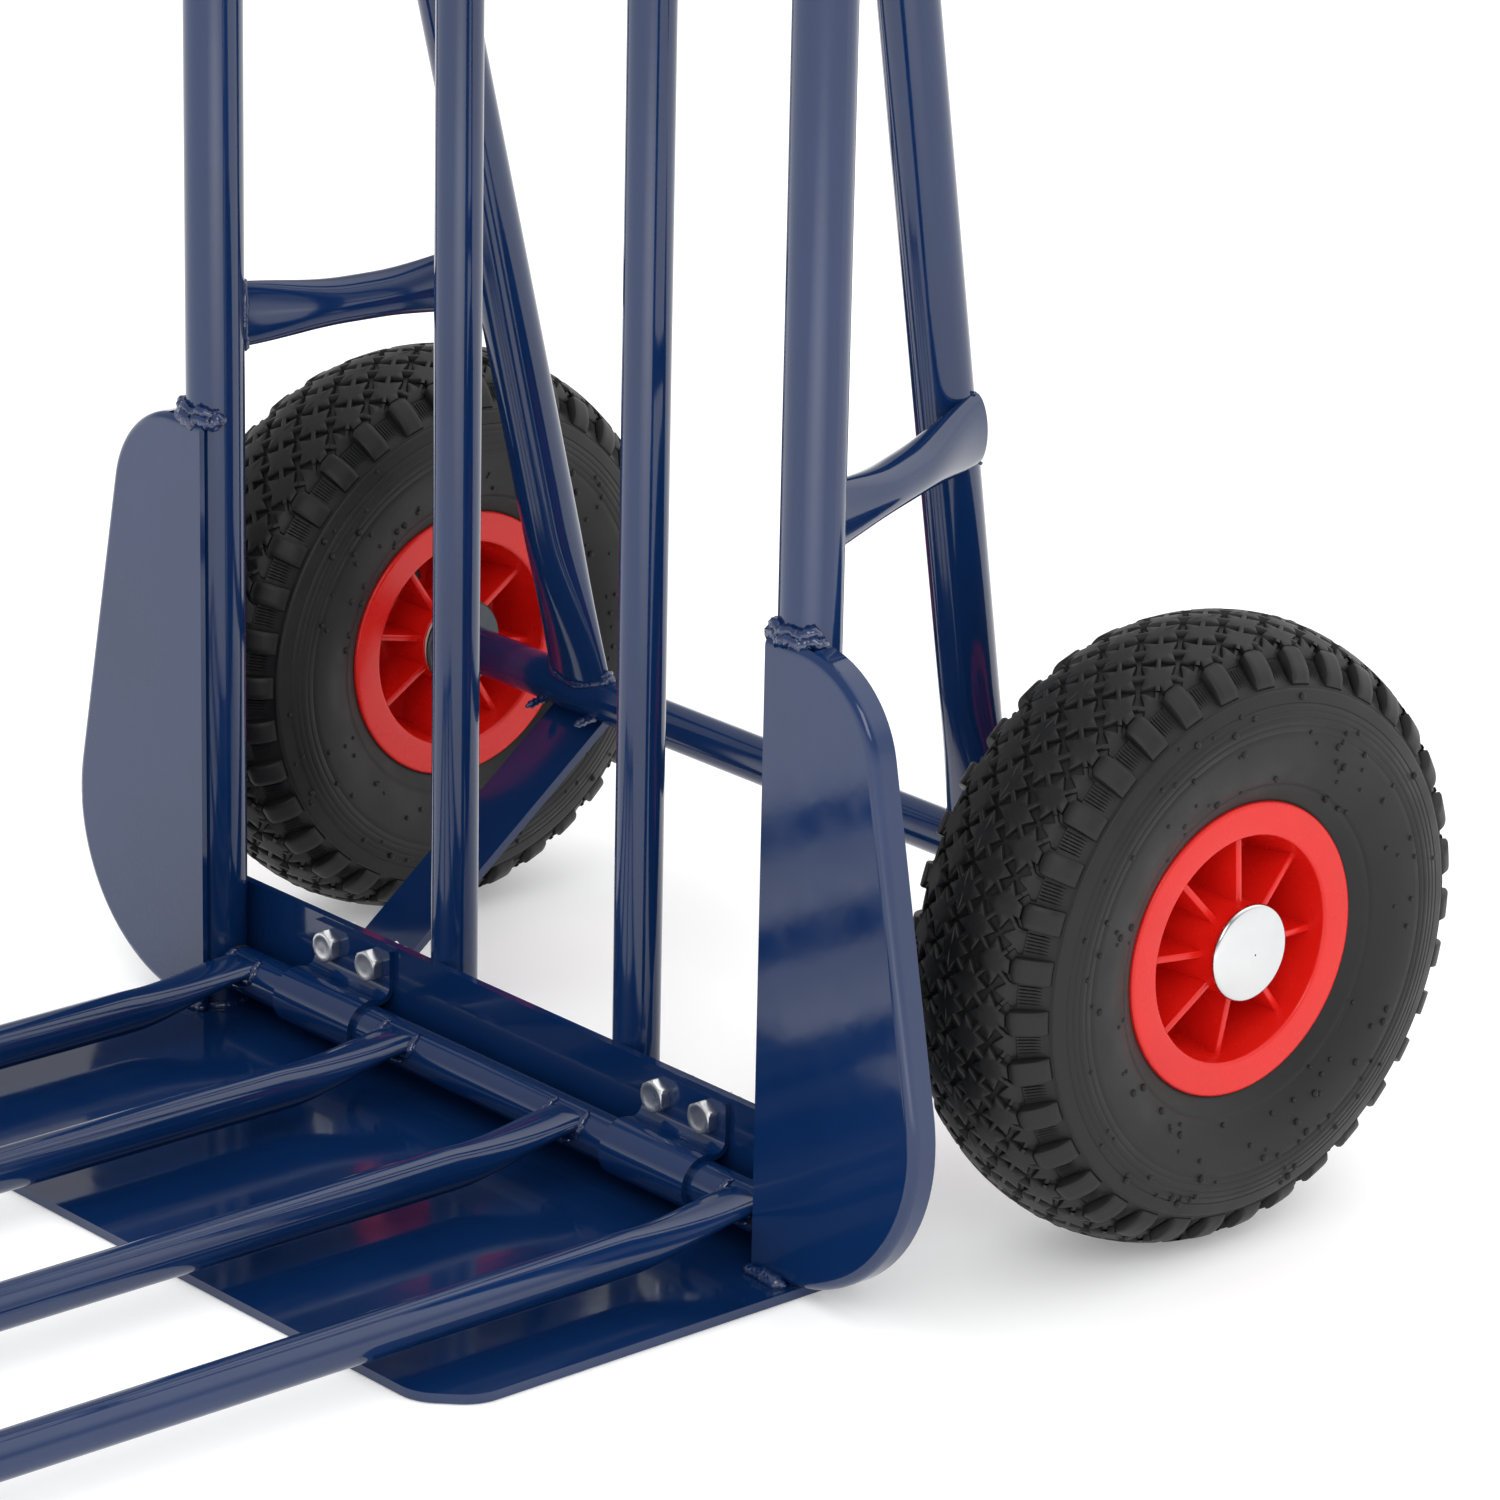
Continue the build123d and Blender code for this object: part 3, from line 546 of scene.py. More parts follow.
    # worn mould seam round the crown, standing a little proud of the middle column
    for k in range(PITCHES):
        for a0, a1 in ((-3.9, -0.6), (0.3, 3.7)):
            a = np.linspace(a0, a1, 5) + phase + half + k * PITCH_DEG
            wob = 0.35 * np.sin(a * 0.9)
            lift = np.array([0.0, 0.28, 0.34, 0.3, 0.0])
            left = place(wob - 0.4, a, np.full(5, 0.1), side)
            crest = place(wob, a, -lift, side)
            right = place(wob + 0.4, a, np.full(5, 0.1), side)
            f = []
            for i in range(4):
                f += [(i, 1 + i, 6 + i, 5 + i), (5 + i, 6 + i, 11 + i, 10 + i)]
            add(np.vstack([left, crest, right]), f)

    # vent pips on both sidewalls
    pip = random.Random(11 if side > 0 else 12)
    cap_rings = [(1.0, 0.0), (0.92, 0.45), (0.6, 0.85), (0.0, 1.0)]
    for sign in (1, -1):
        for _ in range(PIPS_PER_SIDE):
            s0 = pip.uniform(49.0, SIDE_END - 9.0)
            a0 = pip.uniform(0.0, 360.0)
            size = pip.choice([0.9, 1.1, 1.2, 1.6])
            tall = size * pip.uniform(0.7, 1.1)
            _, r0, _, _ = profile(np.array([s0]))
            to_deg = 180.0 / math.pi / float(r0[0])
            v, f = [], []
            sides = 8
            for share, up in cap_rings[:-1]:
                t = np.arange(sides) * 2 * math.pi / sides
                v.append(place(sign * (s0 + size * share * np.cos(t)),
                               a0 + size * share * np.sin(t) * to_deg,
                               np.full(sides, 0.05 - up * tall), side))
            v.append(place(np.array([sign * s0]), np.array([a0]), np.array([-tall]), side))
            for level in range(2):
                for i in range(sides):
                    j = (i + 1) % sides
                    f.append((level * sides + i, level * sides + j,
                              (level + 1) * sides + j, (level + 1) * sides + i))
            for i in range(sides):
                f.append((2 * sides + i, 2 * sides + (i + 1) % sides, 3 * sides))
            if sign > 0:
                f = [g[::-1] for g in f]
            add(np.vstack(v), f)

    obj = make_object(name, verts, faces, [RUBBER])
    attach(obj, "wheel_right" if side > 0 else "wheel_left")
    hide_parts(node)
    return obj


tyre("tyre_right_treaded", 1, "tyre_right", 24.0)
tyre("tyre_left_treaded", -1, "tyre_left", 21.0)


# ---------------------------------------------------------------- rims
def rounded(points, radii, steps=5):
    """Closed outline with its corners rounded; each point has its own radius."""
    out = []
    n = len(points)
    for i in range(n):
        a, b, c = (np.array(points[k % n], float) for k in (i - 1, i, i + 1))
        radius = radii[i]
        if radius <= 0:
            out.append(tuple(b))
            continue
        u, v = a - b, c - b
        lu, lv = np.linalg.norm(u), np.linalg.norm(v)
        cut = min(radius, lu * 0.45, lv * 0.45)
        p0, p1 = b + u / lu * cut, b + v / lv * cut
        for k in range(steps + 1):
            w = k / steps
            out.append(tuple((1 - w) ** 2 * p0 + 2 * w * (1 - w) * b + w * w * p1))
    return out


RIM_LINE = [(33.4, 61.6, 2.6), (33.0, 47.2, 1.6), (10.0, 43.3, 5.0), (2.0, 42.5, 2.0),
            (2.0, 20.4, 4.0), (36.2, 18.9, 0.5), (36.2, 17.6, 0.2), (30.9, 17.6, 0.2),
            (30.9, 12.9, 0.0), (-28.0, 12.9, 0.0),
            (-28.0, 18.7, 1.0), (-2.0, 20.4, 4.0), (-2.0, 42.5, 2.0), (-10.0, 43.3, 5.0),
            (-33.0, 47.2, 1.6), (-33.4, 61.6, 2.6), (-28.4, 60.6, 0.6), (-28.4, 51.0, 0.8),
            (-13.0, 50.5, 1.5), (-9.0, 46.6, 1.5), (9.0, 46.6, 1.5), (13.0, 50.5, 1.5),
            (28.4, 51.0, 0.8), (28.4, 60.6, 0.6)]


def wheel_point(x, r, deg, side):
    a = math.radians(deg)
    return (side * (WHEEL_X + x) * MM, (AXLE_Y + r * math.sin(a)) * MM,
            (AXLE_Z + r * math.cos(a)) * MM)


def turned(line, side, segments=144):
    """A closed (x, r) outline turned round the wheel's axis."""
    verts = [wheel_point(x, r, k * 360.0 / segments, side)
             for k in range(segments) for x, r in line]
    n = len(line)
    faces = []
    for k in range(segments):
        m = (k + 1) % segments
        for i in range(n):
            j = (i + 1) % n
            f = (k * n + i, k * n + j, m * n + j, m * n + i)
            faces.append(f if side > 0 else f[::-1])
    return verts, faces


def rim(name, side, node, phase):
    line = rounded([(x, r) for x, r, _ in RIM_LINE], [q for _, _, q in RIM_LINE])
    verts, faces = turned(line, side)
    for index in range(RIB_COUNT):
        a = math.radians(phase + index * 360.0 / RIB_COUNT)
        out_dir = Vector((0.0, math.sin(a), math.cos(a)))
        across = Vector((0.0, math.cos(a), -math.sin(a)))
        for face_sign in (1, -1):
            top_in, top_out = (29.6, 25.6) if face_sign > 0 else (25.4, 24.6)
            section = []
            for share in np.linspace(0.0, 1.0, 7):
                top = top_in + (top_out - top_in) * share
                ring = []
                for x, half in ((0.0, 2.0), (top - 0.9, 1.55), (top - 0.35, 1.42), (top, 1.0),
                                (top, -1.0), (top - 0.35, -1.42), (top - 0.9, -1.55), (0.0, -2.0)):
                    edge = 42.9 + max(0.0, x - 2.0) * 0.135 + 0.5
                    r = 17.0 + (edge - 17.0) * share
                    p = out_dir * r + across * half
                    ring.append((side * (WHEEL_X + face_sign * x) * MM, (AXLE_Y + p.y) * MM,
                                 (AXLE_Z + p.z) * MM))
                section.append(ring)
            base = len(verts)
            for ring in section:
                verts.extend(ring)
            width = 8
            for k in range(len(section) - 1):
                for i in range(width - 1):
                    f = (base + k * width + i, base + k * width + i + 1,
                         base + (k + 1) * width + i + 1, base + (k + 1) * width + i)
                    faces.append(f if side * face_sign < 0 else f[::-1])
    obj = make_object(name, verts, faces, [RED], sharp_deg=42.0)
    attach(obj, "wheel_right" if side > 0 else "wheel_left")
    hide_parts(node)
    return obj


rim("rim_right_moulded", 1, "rim_right", 4.0)
rim("rim_left_moulded", -1, "rim_left", 12.0)


def hub_cap(name, side, node):
    """Domed press-on cap with a short rolled edge."""
    line = [(39.0, 0.4), (40.6, 0.4)]
    line += [(40.6 - 2.3 * (r / 18.8) ** 2, r) for r in np.linspace(2.0, 18.8, 14)]
    line += [(38.1, 19.5), (37.6, 20.0), (37.0, 20.3), (36.6, 20.3), (36.3, 20.0), (36.3, 17.0),
             (37.0, 16.6)]
    verts, faces = turned(line[::-1], side)
    obj = make_object(name, verts, faces, [CHROME], sharp_deg=60.0)
    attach(obj, "wheel_right" if side > 0 else "wheel_left")
    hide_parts(node)


hub_cap("cap_right_domed", 1, "cap_right")
hub_cap("cap_left_domed", -1, "cap_left")


# ---------------------------------------------------------------- tubes with pressed ends
def ring_tube(name, stations, body, node, finish="blue_paint", sides=48):
    """Stations are (centre, half a, half b, a direction, tangent), mm; both ends closed."""
    verts, faces = [], []
    for centre, ha, hb, a_dir, tangent in stations:
        b_dir = tangent.cross(a_dir).normalized()
        for i in range(sides):
            t = 2 * math.pi * i / sides
            verts.append((centre + a_dir * (ha * math.cos(t)) + b_dir * (hb * math.sin(t))) * MM)
    for k in range(len(stations) - 1):
        for i in range(sides):
            j = (i + 1) % sides
            faces.append((k * sides + i, k * sides + j, (k + 1) * sides + j, (k + 1) * sides + i))
    faces.append(tuple(range(sides))[::-1])
    last = (len(stations) - 1) * sides
    faces.append(tuple(range(last, last + sides)))
    obj = make_object(name, verts, faces, [FINISH[finish]], sharp_deg=40.0)
    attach(obj, body)
    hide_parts(node)
    return obj


def ease(value):
    v = max(0.0, min(1.0, value))
    return v * v * (3 - 2 * v)


def pressed_tube(start, end, radius, flares, a_hint, bow=None):
    """Stations of a straight tube whose ends are pressed flat over a length."""
    axis = (end - start).normalized()
    a_dir = (a_hint - axis * a_hint.dot(axis)).normalized()
    length = (end - start).length
    (l0, a0, b0), (l1, a1, b1) = flares
    stations = []
    count = max(24, int(length / 5.0))
    marks = sorted(set([0.0, length] + [length * k / count for k in range(count + 1)]))
    for d in marks:
        k0, k1 = ease(1.0 - d / l0), ease(1.0 - (length - d) / l1)
        ha = radius + (a0 - radius) * k0 + (a1 - radius) * k1
        hb = radius + (b0 - radius) * k0 + (b1 - radius) * k1
        centre = start + axis * d
        if bow is not None:
            centre = centre + bow * (4 * d / length * (1 - d / length))
        stations.append((centre, ha, hb, a_dir, axis))
    return stations


STRUT_LOW = Vector((129.2, 155.0, 130.0))
STRUT_HIGH = Vector((172.9, 3.0, 876.0))
BRACE_MAIN = Vector((191.0, 0.0, 312.5))
BRACE_FAR = Vector((151.4, 121.9, 322.0))
STRUT_DIR = (STRUT_HIGH - STRUT_LOW).normalized()
BRACE_DIR = (BRACE_FAR - BRACE_MAIN).normalized()


def flip(v, side):
    return Vector((side * v.x, v.y, v.z))


for side, word in ((1, "right"), (-1, "left")):
    low, high = flip(STRUT_LOW + STRUT_DIR * 6.0, side), flip(STRUT_HIGH, side)
    ring_tube(f"strut_{word}_pressed",
              pressed_tube(low, high, 12.5, ((75.0, 19.0, 6.8), (60.0, 16.5, 8.0)),
                           Vector((1, 0, 0))),
              "frame", f"strut_{word}")
    a, b = flip(BRACE_MAIN + BRACE_DIR * 7.0, side), flip(BRACE_FAR, side)
    ring_tube(f"brace_{word}_pressed",
              pressed_tube(a, b, 10.0, ((52.0, 14.5, 5.8), (56.0, 15.2, 5.6)), Vector((0, 0, 1)),
                           Vector((0, 0, -1.5))),
              "frame", f"brace_{word}")

EXT_R, EXT_Z, EXT_FRONT, EXT_BEND = 9.3, 20.2, -430.0, 45.0
EXT_OUT, EXT_IN = 166.3, 55.9


def ext_section(y):
    """Centre height and half sizes of an extension tube near its pressed end on the pivot."""
    k = ease((y + 72.0) / 58.0)
    return EXT_Z + 6.9 * ease((y + 64.0) / 58.0), EXT_R + 2.3 * k, EXT_R - 4.9 * k


def ext_leg(x, y_from, y_to, count):
    made = []
    for i in range(count + 1):
        y = y_from + (y_to - y_from) * i / count
        z, ha, hb = ext_section(y)
        direction = Vector((0, 1 if y_to > y_from else -1, 0))
        made.append((Vector((x, y, z)), ha, hb, Vector((1, 0, 0)), direction))
    return made


def ext_path():
    stations = ext_leg(-EXT_OUT, -6.0, -90.0, 30)
    stations += [(Vector((-EXT_OUT, y, EXT_Z)), EXT_R, EXT_R, Vector((1, 0, 0)), Vector((0, -1, 0)))
                 for y in (-150.0, -230.0, -310.0, EXT_FRONT + EXT_BEND)]
    for cx, begin in ((-EXT_OUT + EXT_BEND, 180.0), (EXT_OUT - EXT_BEND, 270.0)):
        for k in range(1, 17):
            a = math.radians(begin + 90.0 * k / 16)
            tangent = Vector((-math.sin(a), math.cos(a), 0))
            outward = Vector((-math.cos(a), -math.sin(a), 0))
            stations.append((Vector((cx + EXT_BEND * math.cos(a),
                                     EXT_FRONT + EXT_BEND + EXT_BEND * math.sin(a), EXT_Z)),
                             EXT_R, EXT_R, outward, tangent))
        if cx < 0:
            stations += [(Vector((x, EXT_FRONT, EXT_Z)), EXT_R, EXT_R, Vector((0, 1, 0)),
                          Vector((1, 0, 0))) for x in (-60.0, 0.0, 60.0)]
    stations += [(Vector((EXT_OUT, y, EXT_Z)), EXT_R, EXT_R, Vector((-1, 0, 0)), Vector((0, 1, 0)))
                 for y in (-310.0, -230.0, -150.0)]
    for centre, ha, hb, _, tangent in ext_leg(EXT_OUT, -90.0, -6.0, 30):
        stations.append((centre, ha, hb, Vector((-1, 0, 0)), tangent))
    return stations


ring_tube("ext_loop_bent", ext_path(), "extension", "ext_loop")
for side, word in ((1, "right"), (-1, "left")):
    leg = [(Vector((side * EXT_IN, y, EXT_Z)), EXT_R, EXT_R, Vector((1, 0, 0)), Vector((0, 1, 0)))
           for y in (EXT_FRONT, -340.0, -260.0, -180.0, -120.0)]
    leg += ext_leg(side * EXT_IN, -90.0, -6.0, 30)
    ring_tube(f"ext_bar_{word}_pressed", leg, "extension", f"ext_bar_{word}")


# ---------------------------------------------------------------- weld beads
def bead(store, points, radius, closed=False, seed=1):
    """A rippled, slightly lumpy weld along points, mm, added to store as (verts, faces)."""
    dice = random.Random(seed)
    pts = [Vector(p) for p in points]
    if closed:
        pts.append(pts[0].copy())
    line = [pts[0]]
    for a, b in zip(pts[:-1], pts[1:]):
        parts = max(1, int((b - a).length / 0.9))
        line += [a + (b - a) * (k / parts) for k in range(1, parts + 1)]
    verts, faces = store
    base = len(verts)
    sides = 10
    travelled = 0.0
    phase = dice.uniform(0, 6)
    lump = [dice.uniform(-1, 1) for _ in range(len(line) // 4 + 3)]
    for k, p in enumerate(line):
        if k:
            travelled += (p - line[k - 1]).length
        tangent = (line[min(k + 1, len(line) - 1)] - line[max(k - 1, 0)]).normalized()
        side_dir = tangent.cross(Vector((0.31, 0.27, 0.91))).normalized()
        up_dir = tangent.cross(side_dir).normalized()
        at = k / 4.0
        low_i = int(at)
        wander = lump[low_i] * (1 - (at - low_i)) + lump[low_i + 1] * (at - low_i)
        ripple = 0.16 * math.sin(travelled * 2.3 + phase)
        r = radius * (0.95 + ripple + 0.26 * wander)
        if not closed:
            edge = min(k, len(line) - 1 - k) / 3.0
            r *= min(1.0, 0.35 + 0.65 * edge)
        for i in range(sides):
            t = 2 * math.pi * i / sides
            rough = (1.0 + 0.10 * math.sin(3 * t + travelled * 1.7 + phase)
                     + dice.uniform(-0.05, 0.05))
            verts.append((p + side_dir * (r * rough * math.cos(t))
                          + up_dir * (r * rough * math.sin(t))) * MM)
    for k in range(len(line) - 1):
        for i in range(sides):
            j = (i + 1) % sides
            faces.append((base + k * sides + i, base + k * sides + j,
                          base + (k + 1) * sides + j, base + (k + 1) * sides + i))
    faces.append(tuple(base + i for i in range(sides))[::-1])
    last = base + (len(line) - 1) * sides
    faces.append(tuple(last + i for i in range(sides)))


def saddle(centre, axis, outward, radius, half_a, half_b, begin=0.0, end=360.0, steps=48):
    """Where an oval tube end of these half sizes meets a round bar's surface."""
    n = (outward - axis * outward.dot(axis)).normalized()
    t_dir = axis.cross(n).normalized()
    out = []
    for k in range(steps + 1):
        a = math.radians(begin + (end - begin) * k / steps)
        t = max(-radius * 0.98, min(radius * 0.98, half_b * math.sin(a)))
        out.append(centre + axis * (half_a * math.cos(a)) + t_dir * t
                   + n * math.sqrt(radius * radius - t * t))
    return out


frame_welds, ext_welds = ([], []), ([], [])
X_AXIS, Z_AXIS = Vector((1, 0, 0)), Vector((0, 0, 1))
for side in (1, -1):
    # guard to rail at the top, then guard and rail to plate
    top = []
    for k in range(13):
        a = math.radians(-72.0 + 150.0 * k / 12)
        top.append((side * (RAIL_X + 14.2 * math.sin(a)), -14.2 * math.cos(a),
                    270.5 + 1.2 * math.sin(k * 2.1)))
    bead(frame_welds, top, 3.1, seed=21 + side)
    bead(frame_welds, [(p[0], p[1] + 0.4, p[2] + 3.6) for p in top[1:-1]], 2.4, seed=31 + side)
    bead(frame_welds, [(side * 180.0, -16.0, PLATE_TOP_Z), (side * 186.0, -17.5, 5.6),
                       (side * 193.0, -17.0, 5.2), (side * 199.0, -17.8, PLATE_TOP_Z),
                       (side * 204.0, -16.2, PLATE_TOP_Z)], 3.4, seed=41 + side)
    bead(frame_welds, [(side * 200.0, -12.5, PLATE_TOP_Z), (side * 205.5, -9.0, PLATE_TOP_Z),
                       (side * 205.8, -5.0, 4.8)], 2.4, seed=43 + side)
    ring = [(side * RAIL_X + 13.2 * math.cos(k * math.pi / 12),
             13.2 * math.sin(k * math.pi / 12), 4.6) for k in range(24)]
    bead(frame_welds, ring, 1.9, closed=True, seed=45 + side)
    # strut foot to axle, with a lump on each side
    foot = flip(STRUT_LOW, side)
    rim_path = saddle(foot, X_AXIS, flip(STRUT_DIR, side), 10.1, 19.2, 7.2)
    bead(frame_welds, rim_path, 1.5, closed=True, seed=51 + side)
    for begin in (0, 22):
        patch = rim_path[begin:begin + 7] if begin else rim_path[-5:] + rim_path[1:5]
        bead(frame_welds, patch, 3.2, seed=53 + side + begin)
        bead(frame_welds, [p + Vector((0.0, 0.0, 3.0)) for p in patch[1:-1]], 2.3,
             seed=55 + side + begin)
    # brace to rail and strut, strut to rail
    bead(frame_welds, saddle(flip(BRACE_MAIN, side), Z_AXIS, flip(BRACE_DIR, side),
                             12.9, 14.0, 6.0), 1.7, closed=True, seed=61 + side)
    tip = flip(BRACE_FAR, side)
    axis = flip(STRUT_DIR, side)
    outward = flip(Vector((1.0, 0.35, 0.0)), side)
    seam = [tip + axis * (15.8 * math.cos(a)) + outward * (1.5 - 5.5 * math.sin(a))
            for a in [math.pi * k / 16 for k in range(17)]]
    bead(frame_welds, seam, 1.5, seed=71 + side)
    bead(frame_welds, saddle(flip(STRUT_HIGH, side), Z_AXIS,
                             flip(-STRUT_DIR + Vector((0, 0, 1)), side), 12.9, 16.0, 7.5),
         1.8, closed=True, seed=75 + side)
    # strap to axle and to flange
    strap = side * STRAP_X
    for edge in (-1, 1):
        bead(frame_welds, [(strap + edge * 16.5, 140.0, 120.0), (strap + edge * 17.0, 148.0, 121.5),
                           (strap + edge * 16.5, 155.5, 122.5)], 2.1, seed=81 + side + edge)
    bead(frame_welds, [(strap - 16.0, 18.5, 14.0), (strap, 18.8, 14.2),
                       (strap + 16.0, 18.5, 14.0)], 1.8, seed=91 + side)
    # inner tube to flange, crossbars to rail
    for edge in (-1, 1):
        bead(frame_welds, [(side * INNER_X + edge * 5.2, 18.3, z) for z in (8.0, 22.0, 38.0, 54.0)],
             1.6, seed=95 + side + edge)
    for z in CROSSBAR_Z:
        bead(frame_welds, saddle(Vector((side * RAIL_X, 0.0, z)), Z_AXIS,
                                 Vector((-side, 0.35, 0.0)), 12.8, 10.4, 9.6),
             1.6, closed=True, seed=101 + side)
    # extension tubes to pivot tube; the outer welds stay clear of the rails when folded
    for x, seed in ((EXT_OUT * side, 111), (EXT_IN * side, 121)):
        for edge in (-1, 1):
            reach = edge * (0.74 if abs(x) > 100.0 and edge * side > 0 else 1.0)
            bead(ext_welds, [(x + reach * 9.6, -2.6, 31.6), (x + reach * 10.8, -5.0, 30.6),
                             (x + reach * 11.0, -7.4, 28.6), (x + reach * 11.3, -9.4, 25.6),
                             (x + reach * 10.8, -10.4, 22.5)], 1.9, seed=seed + 3 + side + edge)
            bead(ext_welds, [(x + reach * 11.8, -5.8, 29.4), (x + reach * 12.4, -8.0, 27.2),
                             (x + reach * 12.0, -9.8, 24.4)], 1.5, seed=seed + 5 + side + edge)
        bead(ext_welds, [(x - 8.0, -11.2, 20.5), (x, -11.4, 19.8), (x + 8.0, -11.2, 20.5)], 1.5,
             seed=seed + 7 + side)
    joint = [(side * EXT_IN + 10.2 * math.cos(a), EXT_FRONT + 9.6, EXT_Z + 9.6 * math.sin(a))
             for a in [2 * math.pi * k / 24 for k in range(24)]]
    bead(ext_welds, joint, 1.6, closed=True, seed=131 + side)

for label, store, body in (("welds_frame", frame_welds, "frame"),
                           ("welds_extension", ext_welds, "extension")):
    piece = make_object(label, store[0], store[1], [WELD], sharp_deg=80.0)
    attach(piece, body)


# ---------------------------------------------------------------- clip bolts
def clip_bolts():
    verts, faces = [], []
    around = 72
    flat = 6.5
    for x0 in (-124.2, -94.8, 94.8, 124.2):
        turn = {94.8: 3.0, 124.2: -2.0, -94.8: -4.0, -124.2: 2.0}[x0]
        rows = []

        def hexa(shrink, y, limit=99.0):
            row = []
            for k in range(around):
                a = 2 * math.pi * k / around
                sector = (math.degrees(a) + turn) % 60.0 - 30.0
                r = min((flat - shrink) / math.cos(math.radians(sector)), 7.35 - shrink, limit)
                row.append((x0 + r * math.sin(a), y, BOLT_Z + r * math.cos(a)))
            return row

        rows.append(hexa(0.1, 10.5))
        rows.append(hexa(0.0, 10.2))
        rows.append(hexa(0.0, 6.3))
        rows.append(hexa(0.0, 5.75, 6.85))
        rows.append(hexa(0.0, 5.3, 6.25))
        rows.append(hexa(0.0, 5.22, 5.9))
        rows.append(hexa(0.0, 5.26, 4.6))
        rows.append(hexa(0.0, 5.42, 4.2))
        rows.append(hexa(0.0, 5.45, 1.8))
        base = len(verts)
        for row in rows:
            verts.extend(Vector(p) * MM for p in row)
        for level in range(len(rows) - 1):
            for i in range(around):
                j = (i + 1) % around
                faces.append((base + level * around + i, base + level * around + j,
                              base + (level + 1) * around + j, base + (level + 1) * around + i))
        faces.append(tuple(base + (len(rows) - 1) * around + i for i in range(around)))
        shank = [(4.0, 10.5), (4.0, 21.0)]
        y = 21.0
        while y < 28.4:
            shank += [(3.45, y + 0.35), (4.0, y + 0.95)]
            y += 1.25
        shank += [(3.4, 28.7), (2.6, 29.0)]
        base = len(verts)
        ring = 24
        for r, y in shank:
            verts.extend(Vector((x0 + r * math.sin(2 * math.pi * k / ring), y,
                                 BOLT_Z + r * math.cos(2 * math.pi * k / ring))) * MM
                         for k in range(ring))
        for level in range(len(shank) - 1):
            for i in range(ring):
                j = (i + 1) % ring
                faces.append((base + level * ring + j, base + level * ring + i,
                              base + (level + 1) * ring + i, base + (level + 1) * ring + j))
        faces.append(tuple(base + (len(shank) - 1) * ring + i for i in range(ring))[::-1])
    obj = make_object("clip_bolts_headed", verts, faces, [ZINC], sharp_deg=24.0)
    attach(obj, "frame")
    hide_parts("clip_bolts")


clip_bolts()

# ---------------------------------------------------------------- stage, light, camera
WORLD_STRENGTH = 1.30
UPPER_REFLECTED = 0.50
SOFT_BOX_TOWARD = (0.20, 0.60, 0.77)
PAINTED_GLOW_CENTRE = (1.25, -0.85, 0.0)
LAMP_AT = (2.4, -1.6, 2.2)
LAMP_AIM = (0.0, 0.0, 0.3)
CAMERA_AT = (1.99594688, -1.62887774, 1.05986355)
CAMERA_TURN_DEG = (48.4596, 19.01397, 1.23)  # azimuth, elevation, roll

world = bpy.data.worlds.new("studio")
bpy.context.scene.world = world
world.use_nodes = True
world.node_tree.nodes["Background"].inputs["Color"].default_value = (1.0, 1.0, 1.0, 1.0)
sky = world.node_tree
backdrop = sky.nodes["Background"]
path = sky.nodes.new("ShaderNodeLightPath")
where_sky = sky.nodes.new("ShaderNodeTexCoord")
split = sky.nodes.new("ShaderNodeSeparateXYZ")
sky.links.new(where_sky.outputs["Generated"], split.inputs[0])
# reflections see a darker upper half with one soft box overhead
upper = span(sky, split.outputs["Z"], WORLD_STRENGTH, UPPER_REFLECTED, 0.02, 0.30)
toward = sky.nodes.new("ShaderNodeVectorMath")
toward.operation = "DOT_PRODUCT"
toward.inputs[1].default_value = SOFT_BOX_TOWARD
sky.links.new(where_sky.outputs["Generated"], toward.inputs[0])
soft = span(sky, toward.outputs["Value"], 0.0, 1.1, 0.64, 0.90)
both = sky.nodes.new("ShaderNodeMath")
both.operation = "ADD"
sky.links.new(upper, both.inputs[0])
sky.links.new(soft, both.inputs[1])
pick = sky.nodes.new("ShaderNodeMix")
pick.data_type = "FLOAT"
pick.inputs["A"].default_value = WORLD_STRENGTH
sky.links.new(path.outputs["Is Glossy Ray"], pick.inputs["Factor"])
sky.links.new(both.outputs[0], pick.inputs["B"])
sky.links.new(pick.outputs["Result"], backdrop.inputs["Strength"])

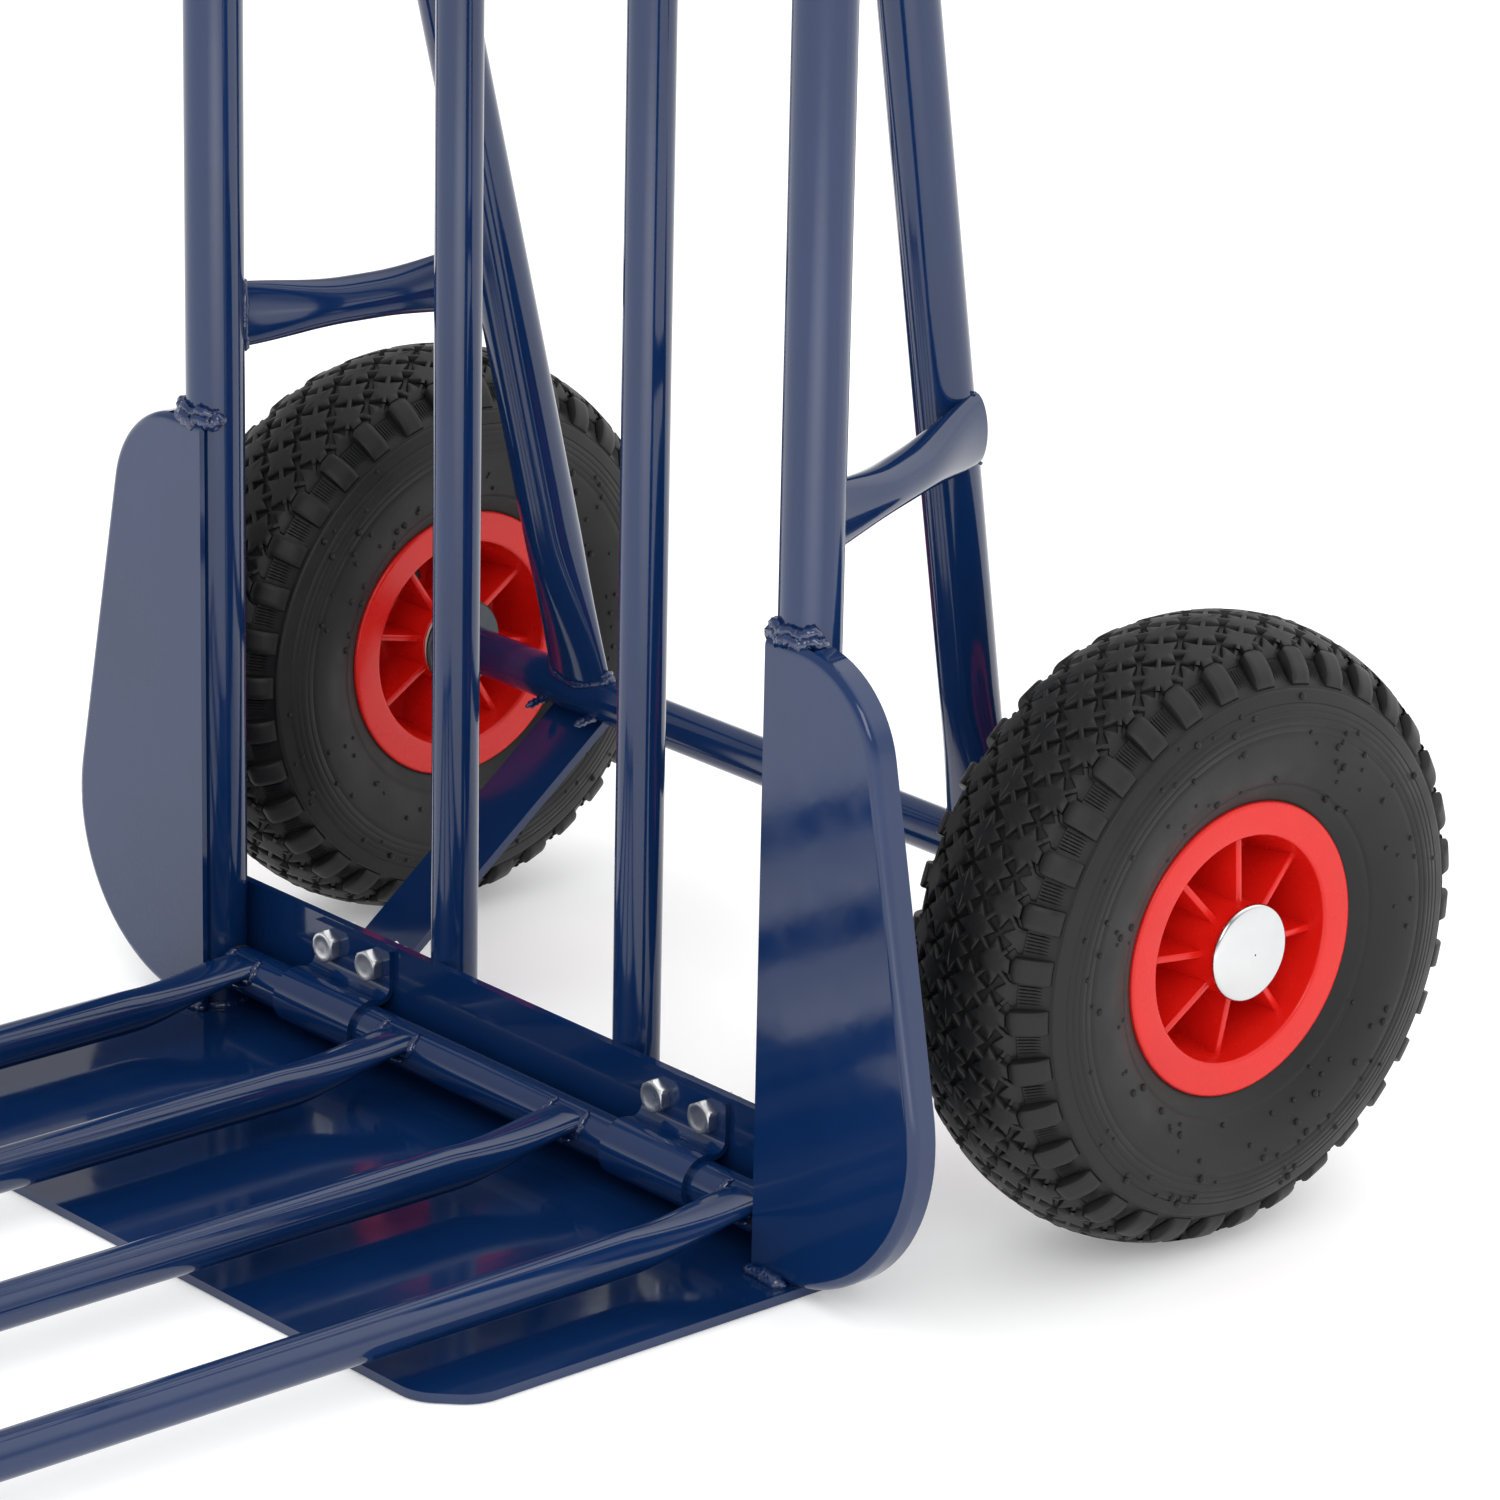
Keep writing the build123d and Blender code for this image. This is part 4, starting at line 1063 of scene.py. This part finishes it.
floor_mat = surface("studio_floor", (0.84, 0.84, 0.84), (0.87, 0.87, 0.87), 2.0, (0.85, 0.95),
                    bump_scale=30.0, bump_strength=0.01)
floor_tree = floor_mat.node_tree
floor_shader = next(n for n in floor_tree.nodes if n.type == "BSDF_PRINCIPLED")
# painted light: the floor glows though it is no lamp. Its emission is a painted pool of light,
# strength 1.6 round the glow centre and falling to 0.21 further out, which lifts the floor's
# shadows and adds a bright patch to the reflections in the tubes
spot = floor_tree.nodes.new("ShaderNodeVectorMath")
spot.operation = "DISTANCE"
spot.inputs[1].default_value = PAINTED_GLOW_CENTRE
floor_tree.links.new(coords(floor_tree), spot.inputs[0])
painted_glow = span(floor_tree, spot.outputs["Value"], 1.6, 0.21, 0.15, 0.85)
floor_shader.inputs["Emission Color"].default_value = (1.0, 1.0, 1.0, 1.0)
floor_tree.links.new(painted_glow, floor_shader.inputs["Emission Strength"])
bpy.ops.mesh.primitive_plane_add(size=40.0, location=(0.0, 0.0, -0.0005))
ground = bpy.context.object
ground.name = "studio_floor"
ground.data.materials.append(floor_mat)
ground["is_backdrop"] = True

lamp = bpy.data.lights.new("soft_box", "AREA")
lamp.shape = "RECTANGLE"
lamp.size = 1.6
lamp.size_y = 1.6
lamp.energy = 26.0
lamp_obj = bpy.data.objects.new("soft_box", lamp)
bpy.context.scene.collection.objects.link(lamp_obj)
lamp_obj.location = LAMP_AT
lamp_obj.rotation_mode = "QUATERNION"
aim = Vector(LAMP_AIM) - lamp_obj.location
lamp_obj.rotation_quaternion = aim.to_track_quat("-Z", "Y")

cam_data = bpy.data.cameras.new("camera")
cam_data.lens = 159.02
cam_data.sensor_width = 36.0
cam_data.clip_start = 0.05
cam_data.clip_end = 100.0
cam = bpy.data.objects.new("camera", cam_data)
bpy.context.scene.collection.objects.link(cam)
az, el, roll = (math.radians(v) for v in CAMERA_TURN_DEG)
back = Vector((math.sin(az) * math.cos(el), -math.cos(az) * math.cos(el), math.sin(el)))
right = Vector((math.cos(az), math.sin(az), 0.0))
up = back.cross(right)
cam_x = math.cos(roll) * right + math.sin(roll) * up
cam_y = -math.sin(roll) * right + math.cos(roll) * up
axes = Matrix((cam_x, cam_y, back)).transposed().to_4x4()
cam.matrix_world = Matrix.Translation(CAMERA_AT) @ axes
bpy.context.scene.camera = cam
bpy.context.scene.view_settings.view_transform = "Standard"

low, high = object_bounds()
